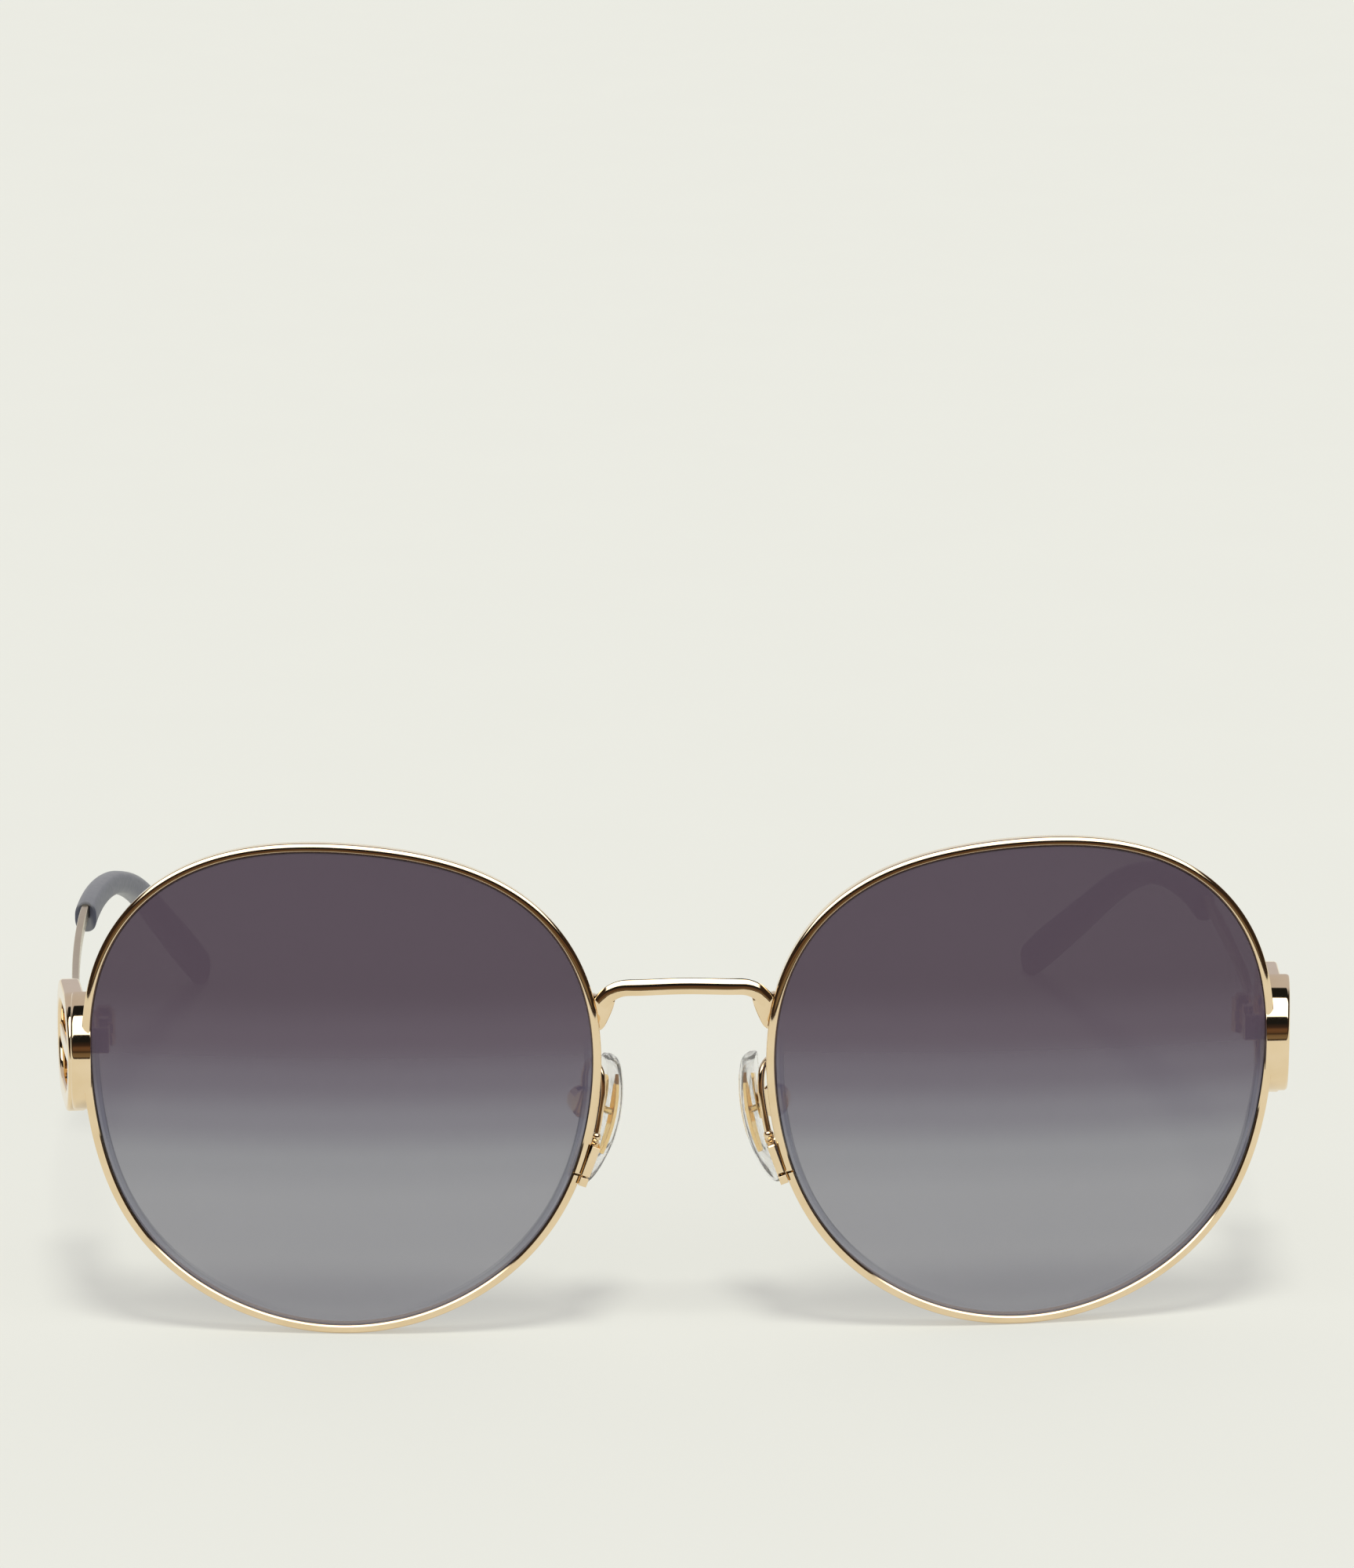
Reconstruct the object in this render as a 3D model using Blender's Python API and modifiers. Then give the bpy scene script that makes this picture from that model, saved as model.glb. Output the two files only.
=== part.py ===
"""Metal sunglasses with gradient lenses, modelled piece by piece at real size.

The front is modelled in its own frame: X to the wearer's left, Y towards the ears, Z up,
with the origin midway between the two lens centres. The whole is then leaned back until it
stands on both rims and both temple tips, and centred over the world's origin.
"""

import math

import bmesh
import bpy
from mathutils import Matrix, Vector

# Lenses and rims, in metres and degrees
LENS_RADIUS = 29.2e-3
LENS_GAP = 21.66e-3
LENS_THICKNESS = 1.6e-3
LENS_EDGE_BEVEL = 0.5e-3
LENS_CURVE_RADIUS = 140e-3
FACE_FORM = math.radians(3.9)
OUTLINE_SHARES = (0.984, 1.055, 1.018, 0.940, 0.984, 1.042, 1.001, 0.998, 1.002, 1.000, 0.996, 0.988)
NOSE_SIDE_SHARE = OUTLINE_SHARES[len(OUTLINE_SHARES) // 2]
RIM_WIDTH = 1.0e-3
RIM_DEPTH = 2.0e-3
RIM_EDGE_BEVEL = 0.18e-3
GROOVE_DEPTH = 0.45e-3
GROOVE_MOUTH = 1.6e-3
GROOVE_FLOOR = 1.0e-3
LENS_SEAT = 0.15e-3

# Gaps between pieces that touch on the real object
SOLDER_GAP = 0.12e-3
SEAT_GAP = 0.3e-3
OVERRUN = 1.0e-3

# Bridge
BRIDGE_HEIGHT = 1.6e-3
BRIDGE_DEPTH = 2.0e-3
BRIDGE_EDGE_BEVEL = 0.45e-3
BRIDGE_RISE = 11.7e-3
BRIDGE_FORWARD = 0.9e-3
BRIDGE_END_DROP = 2.1e-3
BRIDGE_FOOT_HEIGHT = 3.2e-3
BRIDGE_FOOT_WIDTH = 2.3e-3
BRIDGE_FOOT_DEPTH = 1.5e-3

# Closing blocks, which join the two ends of each rim, and their screw
SPLIT_ANGLE = math.radians(201.3)
SPLIT_GAP = 0.25e-3
BLOCK_FLANGE = 0.95e-3
BLOCK_BODY_WIDTH = 2.1e-3
BLOCK_BODY_DEPTH = 1.9e-3
UPPER_BLOCK_LENGTH = 3.7e-3
LOWER_BLOCK_LENGTH = 1.0e-3
BLOCK_EDGE_BEVEL = 0.15e-3
CLOSING_SCREW_RADIUS = 0.45e-3
CLOSING_SCREW_HEAD_RADIUS = 0.8e-3
CLOSING_SCREW_HEAD = 0.4e-3
CLOSING_SCREW_BLIND = 0.6e-3
SCREW_CLEARANCE = 0.1e-3

# End pieces and hinges
LUG_HEIGHT = 3.1e-3
LUG_RISE = 4.4e-3
LUG_FLANGE_DEPTH = 0.95e-3
LUG_FLANGE_REACH = 1.3e-3
LUG_LEG_WIDTH = 1.5e-3
LUG_LEG_LENGTH = 1.7e-3
LUG_EDGE_BEVEL = 0.2e-3
HINGE_BARREL_RADIUS = 1.3e-3
HINGE_HEIGHT = 4.0e-3
HINGE_RISE = 4.5e-3
HINGE_SETBACK = 6.6e-3
HINGE_INSET = 2.3e-3
KNUCKLE_SHARE = 0.3
KNUCKLE_GAP = 0.2e-3
HINGE_LEAF_THICKNESS = 1.1e-3
HINGE_SCREW_RADIUS = 0.5e-3
HINGE_SCREW_HEAD_RADIUS = 0.9e-3
HINGE_SCREW_HEAD = 0.4e-3
TEMPLE_LEAF_THICKNESS = 0.7e-3
TEMPLE_LEAF_LENGTH = 6.0e-3
TEMPLE_LEAF_DROP = 3.6e-3
TEMPLE_SPLAY = math.radians(5.8)

# Oval link on each temple
LINK_HEIGHT = 14.3e-3
LINK_LENGTH = 20.4e-3
LINK_THICKNESS = 2.4e-3
LINK_BAND = 2.4e-3
LINK_BAR_HEIGHT = 2.0e-3
LINK_EDGE_BEVEL = 0.4e-3
LINK_DROP = 3.0e-3
LINK_LEAD = 5.1e-3

# Temple bar and tip
BAR_WIDTH = 0.9e-3
BAR_HEIGHT = 1.8e-3
BAR_EDGE_BEVEL = 0.2e-3
TEMPLE_REACH = 124.2e-3
TEMPLE_INWARD = 24.2e-3
BOW_SHARES = ((0.05, 0.0), (0.216, 0.005), (0.441, 0.136), (0.626, 0.364), (1.0, 1.0))
TIP_DROP = 22.5e-3
SIDE_SHARES = (
    (0.05, -0.060),
    (0.125, -0.067),
    (0.28, -0.015),
    (0.44, 0.078),
    (0.54, 0.086),
    (0.63, 0.018),
    (0.72, -0.145),
    (0.85, -0.535),
    (1.0, -1.0),
)
TIP_LENGTH_SHARE = 0.556
TIP_SECTION_SHARES = ((0.0, 1.0, 1.0), (0.33, 1.0, 0.80), (0.6, 1.0, 1.05), (0.9, 1.05, 1.32), (1.0, 1.0, 1.25))
TIP_WIDTH = 2.75e-3
TIP_HEIGHT = 3.8e-3
TIP_FRONT_SAG = 0.85e-3
TIP_END_ROUND = 1.6e-3
CORE_STOP = 9.0e-3
CORE_CLEARANCE = 0.12e-3

# Nose pads
PAD_LENGTH = 16.4e-3
PAD_WIDTH = 7.0e-3
PAD_THICKNESS = 2.2e-3
PAD_BOW = 1.3e-3
PAD_TILT = math.radians(14.0)
PAD_SPLAY = math.radians(12.0)
PAD_SIDE = 8.8e-3
PAD_BACK = 8.8e-3
PAD_DROP = 6.5e-3
PAD_WIDTH_SHARES = ((-1.0, 0.0), (-0.95, 0.30), (-0.8, 0.56), (-0.5, 0.80), (-0.1, 0.97), (0.25, 1.0), (0.6, 0.88), (0.85, 0.60), (0.96, 0.32), (1.0, 0.0))
CORE_LENGTH = 8.6e-3
CORE_WIDTH = 3.6e-3
CORE_THICKNESS = 0.5e-3
CORE_RISE = 2.4e-3
PAD_SKIN = 0.85e-3
EYE_RADIUS = 1.0e-3
EYE_THICKNESS = 0.9e-3
STEM_WIDTH = 1.2e-3
PAD_BOX_RADIUS = 1.8e-3
PAD_BOX_LENGTH = 2.3e-3
PAD_BOX_WALL = 0.5e-3
PAD_BOX_OFFSET = 3.1e-3
PAD_BOX_RISE = 1.8e-3
PAD_SCREW_RADIUS = 0.4e-3
PAD_SCREW_HEAD_RADIUS = 0.75e-3
PAD_SCREW_HEAD = 0.35e-3
ARM_RADIUS = 0.42e-3
ARM_TOP = 1.5e-3

# Shapes of the rounded sections: the higher, the nearer to a box
SOFT_POWER = 2.6
PLATE_POWER = 8

# Fineness of the meshes
RIM_STEPS = 88
LENS_STEPS = 64
LENS_RINGS = 3
ROUND_SIDES = 16
TIP_STEPS = 18
TIP_SIDES = 14
PAD_STEPS = 12
PAD_SIDES = 14
STAND_STEPS = 6
WELD = 1e-6
SHARP_ANGLE = math.radians(35.0)
TINY_ANGLE = 1e-9

LENS_CENTRE = LENS_GAP / 2 + LENS_RADIUS * NOSE_SIDE_SHARE
SIDES = (("right", -1), ("left", 1))


def clear_scene():
    for thing in list(bpy.data.objects):
        bpy.data.objects.remove(thing)


def new_collection(name):
    collection = bpy.data.collections.new(name)
    bpy.context.scene.collection.children.link(collection)
    return collection


def make_material(name, colour, roughness, metallic, alpha=1.0):
    material = bpy.data.materials.new(name)
    material.use_nodes = True
    shader = material.node_tree.nodes["Principled BSDF"]
    shader.inputs["Base Color"].default_value = (*colour, 1.0)
    shader.inputs["Roughness"].default_value = roughness
    shader.inputs["Metallic"].default_value = metallic
    shader.inputs["Alpha"].default_value = alpha
    return material


clear_scene()
pieces = new_collection("sunglasses")
guides = new_collection("guides_and_cutters")
GOLD = make_material("polished_gold", (0.86, 0.68, 0.44), 0.14, 1.0)
LENS = make_material("tinted_lens", (0.16, 0.13, 0.16), 0.05, 0.0, 0.8)
SLEEVE = make_material("grey_tip", (0.17, 0.18, 0.21), 0.35, 0.0)
SILICONE = make_material("clear_silicone", (0.86, 0.86, 0.84), 0.2, 0.0, 0.4)
SCREW = make_material("screw_gold", (0.72, 0.56, 0.35), 0.25, 1.0)


def add_empty(name, parent=None, location=(0, 0, 0), turn=0.0):
    empty = bpy.data.objects.new(name, None)
    pieces.objects.link(empty)
    empty.parent = parent
    empty.location = location
    empty.rotation_euler = (0, 0, turn)
    return empty


def add_piece(name, data, parent, material, collection=None):
    """Links a mesh or curve as one named piece, placed in its parent's frame."""
    piece = bpy.data.objects.new(name, data)
    (collection or pieces).objects.link(piece)
    piece.parent = parent
    if material:
        data.materials.append(material)
    return piece


def mesh_from(bm, name, smooth=True):
    """A mesh with its faces turned outwards and its round stretches shaded smooth."""
    bmesh.ops.recalc_face_normals(bm, faces=bm.faces)
    mesh = bpy.data.meshes.new(name)
    bm.to_mesh(mesh)
    bm.free()
    if smooth:
        mesh.shade_smooth()
        mesh.set_sharp_from_angle(angle=SHARP_ANGLE)
    return mesh


def add_loft(name, rings, parent, material, collection=None):
    """One closed skin through rings of equally many points, with a flat face at each end."""
    bm = bmesh.new()
    rows = [[bm.verts.new(point) for point in ring] for ring in rings]
    for row, following in zip(rows, rows[1:]):
        for i in range(len(row)):
            j = (i + 1) % len(row)
            bm.faces.new((row[i], row[j], following[j], following[i]))
    bm.faces.new(rows[0])
    bm.faces.new(rows[-1])
    return add_piece(name, mesh_from(bm, name), parent, material, collection)


def add_box(name, low, high, parent, material, bevel=0.0, collection=None):
    """A box between two corners of its parent's frame, with its edges rounded by a modifier."""
    low, high = Vector(low), Vector(high)
    bm = bmesh.new()
    bmesh.ops.create_cube(bm, size=1.0)
    bmesh.ops.scale(bm, vec=high - low, verts=bm.verts)
    bmesh.ops.translate(bm, vec=(high + low) / 2, verts=bm.verts)
    box = add_piece(name, mesh_from(bm, name, smooth=False), parent, material, collection)
    if bevel:
        round_edges(box, bevel)
    return box


def add_rod(name, radius, start, end, parent, material, collection=None, end_radius=None):
    """A round rod from start to end, or a cone when its far end has a radius of its own."""
    start, end = Vector(start), Vector(end)
    bm = bmesh.new()
    bmesh.ops.create_cone(
        bm,
        cap_ends=True,
        segments=ROUND_SIDES,
        radius1=radius,
        radius2=radius if end_radius is None else end_radius,
        depth=(end - start).length,
    )
    turn = (end - start).to_track_quat("Z", "Y").to_matrix().to_4x4()
    bmesh.ops.transform(bm, matrix=Matrix.Translation((start + end) / 2) @ turn, verts=bm.verts)
    return add_piece(name, mesh_from(bm, name), parent, material, collection)


def round_edges(piece, width, segments=2):
    bevel = piece.modifiers.new("round_edges", "BEVEL")
    bevel.width = width
    bevel.segments = segments
    bevel.limit_method = "ANGLE"
    bevel.angle_limit = SHARP_ANGLE


def weld_caps(piece):
    weld = piece.modifiers.new("weld_caps", "WELD")
    weld.merge_threshold = WELD


def combine(piece, other, operation):
    """Cuts a helper from a piece, or joins it on, with an exact Boolean modifier."""
    for collection in list(other.users_collection):
        collection.objects.unlink(other)
    guides.objects.link(other)
    other.hide_render = True
    other.display_type = "WIRE"
    boolean = piece.modifiers.new(other.name, "BOOLEAN")
    boolean.operation = operation
    boolean.object = other
    boolean.solver = "EXACT"


def as_mesh(piece):
    """Turns a curve piece into a mesh piece of the same name, place and parent."""
    bpy.context.view_layer.update()
    graph = bpy.context.evaluated_depsgraph_get()
    mesh = bpy.data.meshes.new_from_object(piece.evaluated_get(graph))
    bm = bmesh.new()
    bm.from_mesh(mesh)
    bmesh.ops.remove_doubles(bm, verts=bm.verts, dist=WELD)
    bmesh.ops.recalc_face_normals(bm, faces=bm.faces)
    bm.to_mesh(mesh)
    bm.free()
    name, parent = piece.name, piece.parent
    basis = piece.matrix_basis.copy()
    collection = piece.users_collection[0]
    bpy.data.objects.remove(piece)
    solid = bpy.data.objects.new(name, mesh)
    collection.objects.link(solid)
    solid.parent = parent
    solid.matrix_basis = basis
    return solid


def add_outline(name, outlines, thickness, parent, material, collection=None):
    """A flat plate: closed outlines in the local XY plane, filled and extruded both ways."""
    curve = bpy.data.curves.new(name, "CURVE")
    curve.dimensions = "2D"
    curve.fill_mode = "BOTH"
    curve.extrude = thickness / 2
    for outline in outlines:
        spline = curve.splines.new("POLY")
        spline.points.add(len(outline) - 1)
        for point, (x, y) in zip(spline.points, outline):
            point.co = (x, y, 0, 1)
        spline.use_cyclic_u = True
    return add_piece(name, curve, parent, material, collection)


def add_profile(name, outline):
    """A closed section that is swept along another curve."""
    profile = add_outline(name, [outline], 0.0, None, None, guides)
    profile.data.fill_mode = "NONE"
    profile.data.dimensions = "2D"
    profile.hide_render = True
    return profile


def add_sweep(name, points, profile, parent, material, collection=None):
    """A bar of a given section along a route, its section kept upright in the local Z."""
    curve = bpy.data.curves.new(name, "CURVE")
    curve.dimensions = "3D"
    curve.twist_mode = "Z_UP"
    curve.bevel_mode = "OBJECT"
    curve.bevel_object = profile
    curve.use_fill_caps = True
    spline = curve.splines.new("POLY")
    spline.points.add(len(points) - 1)
    for point, place in zip(spline.points, points):
        point.co = (*place, 1)
    return as_mesh(add_piece(name, curve, parent, material, collection))


def add_wire(name, points, radius, parent, material):
    """A round wire along a smooth route."""
    curve = bpy.data.curves.new(name, "CURVE")
    curve.dimensions = "3D"
    curve.bevel_depth = radius
    curve.bevel_resolution = 2
    curve.use_fill_caps = True
    spline = curve.splines.new("POLY")
    spline.points.add(len(points) - 1)
    for point, place in zip(spline.points, points):
        point.co = (*place, 1)
    return add_piece(name, curve, parent, material)


def chamfered(width, height, bevel):
    """A rectangle about the origin with its corners cut off."""
    x, y = width / 2, height / 2
    corners = ((x, y - bevel), (x - bevel, y), (bevel - x, y), (-x, y - bevel))
    return list(corners) + [(-cx, -cy) for cx, cy in corners]


def superellipse(half_width, half_height, power, count):
    """A rounded section: 2 is an ellipse, and higher powers come closer to a box."""
    section = []
    for i in range(count):
        angle = 2 * math.pi * (i + 0.5) / count
        c, s = math.cos(angle), math.sin(angle)
        x = math.copysign(abs(c) ** (2 / power), c) * half_width
        y = math.copysign(abs(s) ** (2 / power), s) * half_height
        section.append((x, y))
    return section


def smooth_route(points, steps):
    """A smooth curve through a few chosen points, as a list of closer points."""
    route = []
    last = len(points) - 1
    for i in range(last):
        before, start = points[max(i - 1, 0)], points[i]
        end, after = points[i + 1], points[min(i + 2, last)]
        for step in range(steps):
            t = step / steps
            route.append(
                0.5
                * (
                    2 * start
                    + (end - before) * t
                    + (2 * before - 5 * start + 4 * end - after) * t**2
                    + (3 * start - before - 3 * end + after) * t**3
                )
            )
    return route + [points[-1].copy()]


def read_shares(table, at):
    """Reads a table of shares smoothly: a cubic between rows, with each row's mean slope."""
    rows = [row for row in table]
    for i in range(len(rows) - 1):
        if at <= rows[i + 1][0] or i == len(rows) - 2:
            break
    slopes = []
    for k in (i, i + 1):
        low, high = rows[max(k - 1, 0)], rows[min(k + 1, len(rows) - 1)]
        slopes.append((high[1] - low[1]) / (high[0] - low[0]))
    span = rows[i + 1][0] - rows[i][0]
    t = min(max((at - rows[i][0]) / span, 0.0), 1.0)
    return (
        (2 * t**3 - 3 * t**2 + 1) * rows[i][1]
        + (t**3 - 2 * t**2 + t) * span * slopes[0]
        + (3 * t**2 - 2 * t**3) * rows[i + 1][1]
        + (t**3 - t**2) * span * slopes[1]
    )


# Lens outline and surface


def outline_radius(angle):
    """The rim's inner edge: the one smooth closed curve through the outline's shares."""
    count = len(OUTLINE_SHARES)
    total = 0.0
    for i, share in enumerate(OUTLINE_SHARES):
        turn = angle - 2 * math.pi * i / count
        if abs(math.sin(turn / 2)) < TINY_ANGLE:
            return LENS_RADIUS * share
        total += share * math.sin(count * turn / 2) / (count * math.tan(turn / 2))
    return LENS_RADIUS * total


def on_lens(side, radius, angle, depth=0.0):
    """A point of the front, from polar places about a lens centre. Angle 0 is the outer side."""
    across, up = radius * math.cos(angle), radius * math.sin(angle)
    sag = (across**2 + up**2) / (2 * LENS_CURVE_RADIUS)
    return Vector((side * (LENS_CENTRE + across), across * math.tan(FACE_FORM) + sag + depth, up))


def build_lens(name, side, parent):
    """A curved blank, thickened, with its edge bevelled both ways to sit in the groove."""
    bm = bmesh.new()
    centre = bm.verts.new(on_lens(side, 0.0, 0.0, -LENS_THICKNESS / 2))
    rows = []
    for ring in range(1, LENS_RINGS + 1):
        row = []
        for step in range(LENS_STEPS):
            angle = 2 * math.pi * step / LENS_STEPS
            radius = (outline_radius(angle) + LENS_SEAT) * ring / LENS_RINGS
            row.append(bm.verts.new(on_lens(side, radius, angle, -LENS_THICKNESS / 2)))
        rows.append(row)
    for i in range(LENS_STEPS):
        j = (i + 1) % LENS_STEPS
        bm.faces.new((centre, rows[0][i], rows[0][j]))
        for row, outer in zip(rows, rows[1:]):
            bm.faces.new((row[i], outer[i], outer[j], row[j]))
    lens = add_piece(name, mesh_from(bm, name, smooth=False), parent, LENS)
    # The blank's normals point at the viewer or away, and the thickness has to go backwards.
    facing = -1 if lens.data.polygons[0].normal.y < 0 else 1
    thicken = lens.modifiers.new("thickness", "SOLIDIFY")
    thicken.thickness = LENS_THICKNESS
    thicken.offset = facing
    round_edges(lens, LENS_EDGE_BEVEL, segments=1)
    lens.modifiers["round_edges"].angle_limit = math.radians(60)
    return lens


def rim_section():
    """The rim's section, inner edge first: two lips, the groove between them and a flat back."""
    half_width, half_depth = RIM_WIDTH / 2, RIM_DEPTH / 2
    mouth, floor = GROOVE_MOUTH / 2, GROOVE_FLOOR / 2
    groove = GROOVE_DEPTH - half_width
    bevel = RIM_EDGE_BEVEL
    front = [
        (groove, floor),
        (-half_width, mouth),
        (-half_width, half_depth - bevel / 2),
        (bevel / 2 - half_width, half_depth),
        (half_width - bevel, half_depth),
        (half_width, half_depth - bevel),
    ]
    return front + [(x, -y) for x, y in reversed(front)]


def build_rim(name, side, parent, profile):
    """The rim's wire: the grooved section swept round the lens, open at the split."""
    middle = LENS_RADIUS + RIM_WIDTH / 2
    opening = SPLIT_GAP / middle
    points = []
    for step in range(RIM_STEPS + 1):
        angle = SPLIT_ANGLE + opening / 2 + (2 * math.pi - opening) * step / RIM_STEPS
        place = on_lens(side, outline_radius(angle) + RIM_WIDTH / 2, angle)
        points.append((place.x, place.z, -place.y))
    if side < 0:
        points.reverse()
    rim = add_sweep(name, points, profile, parent, GOLD)
    rim.rotation_euler = (math.pi / 2, 0, 0)
    return rim


# Bridge


def build_bridge(parent):
    """An arched bar between the rims, with a foot down each rim that spreads the solder joint."""
    attach = math.asin((BRIDGE_RISE - BRIDGE_END_DROP) / (LENS_RADIUS * OUTLINE_SHARES[5]))
    end_angle = math.pi - attach
    rim_edge = on_lens(1, outline_radius(end_angle) + RIM_WIDTH + SOLDER_GAP, end_angle)
    end_x, end_y = rim_edge.x, rim_edge.y
    end = end_x - BRIDGE_HEIGHT * 0.45
    profile = add_profile("bridge_section", chamfered(BRIDGE_HEIGHT, BRIDGE_DEPTH, BRIDGE_EDGE_BEVEL))
    half = [
        Vector((end, BRIDGE_RISE - BRIDGE_END_DROP, -end_y)),
        Vector((end - BRIDGE_HEIGHT * 0.5, BRIDGE_RISE - BRIDGE_END_DROP * 0.62, BRIDGE_FORWARD * 0.2 - end_y)),
        Vector((end - BRIDGE_HEIGHT * 1.3, BRIDGE_RISE - BRIDGE_END_DROP * 0.2, BRIDGE_FORWARD * 0.5 - end_y)),
        Vector((end / 2, BRIDGE_RISE - BRIDGE_END_DROP * 0.06, BRIDGE_FORWARD - end_y)),
        Vector((0, BRIDGE_RISE, BRIDGE_FORWARD - end_y)),
    ]
    route = half + [Vector((-p.x, p.y, p.z)) for p in reversed(half[:-1])]
    bar = add_sweep("bridge", smooth_route(route, 5), profile, parent, GOLD)
    bar.rotation_euler = (math.pi / 2, 0, 0)
    for label, side in SIDES:
        outline = []
        top = BRIDGE_RISE - BRIDGE_END_DROP
        bottom = BRIDGE_RISE - BRIDGE_END_DROP - BRIDGE_FOOT_HEIGHT
        for share in (0.0, 0.33, 0.67, 1.0):
            height = bottom + (top - bottom) * share
            angle = math.pi - math.asin(height / LENS_RADIUS)
            edge = on_lens(side, outline_radius(angle) + RIM_WIDTH + SOLDER_GAP, angle)
            outline.append((edge.x, edge.z))
        for share, reach in ((1.0, 1.0), (0.7, 1.0), (0.4, 0.75), (0.15, 0.6), (0.0, 0.3)):
            height = bottom + (top - bottom) * share
            outline.append((side * (end_x - BRIDGE_FOOT_WIDTH * reach), height))
        foot = add_outline(f"bridge_foot_{label}", [outline], BRIDGE_FOOT_DEPTH, parent, None)
        foot.rotation_euler = (math.pi / 2, 0, 0)
        foot.location = (0, end_y + BRIDGE_DEPTH / 4, 0)
        combine(bar, as_mesh(foot), "UNION")
    return bar


# Closing blocks


def split_frame(side):
    """The directions at the split: up along the rim, outwards from the lens, and back."""
    radius = outline_radius(SPLIT_ANGLE)
    origin = on_lens(side, radius, SPLIT_ANGLE)
    turn = SPLIT_GAP / LENS_RADIUS
    ahead = on_lens(side, outline_radius(SPLIT_ANGLE - turn), SPLIT_ANGLE - turn)
    up = (ahead - origin).normalized()
    outward = Vector((side * math.cos(SPLIT_ANGLE), 0, math.sin(SPLIT_ANGLE)))
    outward = (outward - up * outward.dot(up)).normalized()
    back = up.cross(outward)
    if back.y < 0:
        back.negate()
    return origin, up, outward, back


def split_empty(label, side, parent):
    """An empty at the split, its Z up along the rim, its X outwards on the right side."""
    origin, up, outward, back = split_frame(side)
    across = outward if back.dot(up.cross(outward)) > 0 else -outward
    empty = add_empty(f"split_{label}", parent)
    turn = Matrix((across, back, up)).transposed().to_4x4()
    empty.matrix_basis = Matrix.Translation(origin) @ turn
    return empty, 1 if across == outward else -1


def build_closing(label, side, parent):
    """Two blocks on the rim's ends, and the screw that draws them together round the lens."""
    frame, way = split_empty(label, side, parent)
    half_gap = SPLIT_GAP / 2
    body_front = RIM_DEPTH / 2 + SEAT_GAP
    body_back = body_front + BLOCK_BODY_DEPTH
    flange_in = RIM_WIDTH + SOLDER_GAP
    flange_out = flange_in + BLOCK_FLANGE
    body_in = flange_out - BLOCK_BODY_WIDTH
    axis = Vector((way * (body_in + flange_out) / 2, (body_front + body_back) / 2, 0))
    spans = (
        ("upper", half_gap, half_gap + UPPER_BLOCK_LENGTH),
        ("lower", -half_gap - LOWER_BLOCK_LENGTH, -half_gap),
    )
    bore_end = half_gap + UPPER_BLOCK_LENGTH - CLOSING_SCREW_BLIND
    below = -half_gap - LOWER_BLOCK_LENGTH
    for place, low, high in spans:
        ends = sorted((way * flange_in, way * flange_out))
        block = add_box(
            f"closing_block_{place}_{label}",
            (ends[0], -RIM_DEPTH / 2, low),
            (ends[1], body_back, high),
            frame,
            GOLD,
        )
        ends = sorted((way * body_in, way * flange_out))
        body = add_box(
            f"block_body_{place}_{label}",
            (ends[0], body_front, low),
            (ends[1], body_back, high),
            frame,
            None,
        )
        combine(block, body, "UNION")
        bore = add_rod(
            f"block_bore_{place}_{label}",
            CLOSING_SCREW_RADIUS + SCREW_CLEARANCE,
            axis + Vector((0, 0, below - OVERRUN)),
            axis + Vector((0, 0, bore_end)),
            frame,
            None,
        )
        combine(block, bore, "DIFFERENCE")
        round_edges(block, BLOCK_EDGE_BEVEL, segments=1)
    screw = add_rod(
        f"closing_screw_{label}",
        CLOSING_SCREW_RADIUS,
        axis + Vector((0, 0, below - SCREW_CLEARANCE - CLOSING_SCREW_HEAD)),
        axis + Vector((0, 0, bore_end - SCREW_CLEARANCE)),
        frame,
        SCREW,
    )
    head = add_rod(
        f"closing_screw_head_{label}",
        CLOSING_SCREW_HEAD_RADIUS,
        axis + Vector((0, 0, below - SCREW_CLEARANCE - CLOSING_SCREW_HEAD)),
        axis + Vector((0, 0, below - SCREW_CLEARANCE)),
        frame,
        None,
    )
    combine(screw, head, "UNION")
    return frame


# End pieces and hinges


def rim_outer_edge():
    """Where the left rim's outer edge lies at the end piece's height."""
    angle = math.asin(LUG_RISE / LENS_RADIUS)
    return on_lens(1, outline_radius(angle) + RIM_WIDTH, angle)


RIM_EDGE = rim_outer_edge()
HINGE_X = RIM_EDGE.x - HINGE_INSET
LUG_FRONT = RIM_EDGE.y + RIM_DEPTH / 2 + SEAT_GAP
HINGE_Y = LUG_FRONT + HINGE_SETBACK
LUG_INNER = HINGE_X - LUG_LEG_WIDTH / 2
LUG_BACK = LUG_FRONT + LUG_FLANGE_DEPTH + LUG_LEG_LENGTH - LUG_FLANGE_DEPTH / 2
KNUCKLE = HINGE_HEIGHT * KNUCKLE_SHARE


def mirrored(side, x_low, x_high):
    return sorted((side * x_low, side * x_high))


def build_end_piece(label, side, parent):
    """The lug on the rim: a flange against the rim's back, and a leg that carries the hinge."""
    low, high = LUG_RISE - LUG_HEIGHT / 2, LUG_RISE + LUG_HEIGHT / 2
    ends = mirrored(side, LUG_INNER, RIM_EDGE.x + LUG_FLANGE_REACH)
    lug = add_box(
        f"end_piece_{label}",
        (ends[0], LUG_FRONT, low),
        (ends[1], LUG_FRONT + LUG_FLANGE_DEPTH, high),
        parent,
        GOLD,
    )
    ends = mirrored(side, LUG_INNER, LUG_INNER + LUG_LEG_WIDTH)
    leg = add_box(
        f"end_piece_leg_{label}",
        (ends[0], LUG_FRONT + LUG_FLANGE_DEPTH / 2, low),
        (ends[1], LUG_BACK, high),
        parent,
        None,
    )
    combine(lug, leg, "UNION")
    round_edges(lug, LUG_EDGE_BEVEL)
    return lug


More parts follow.
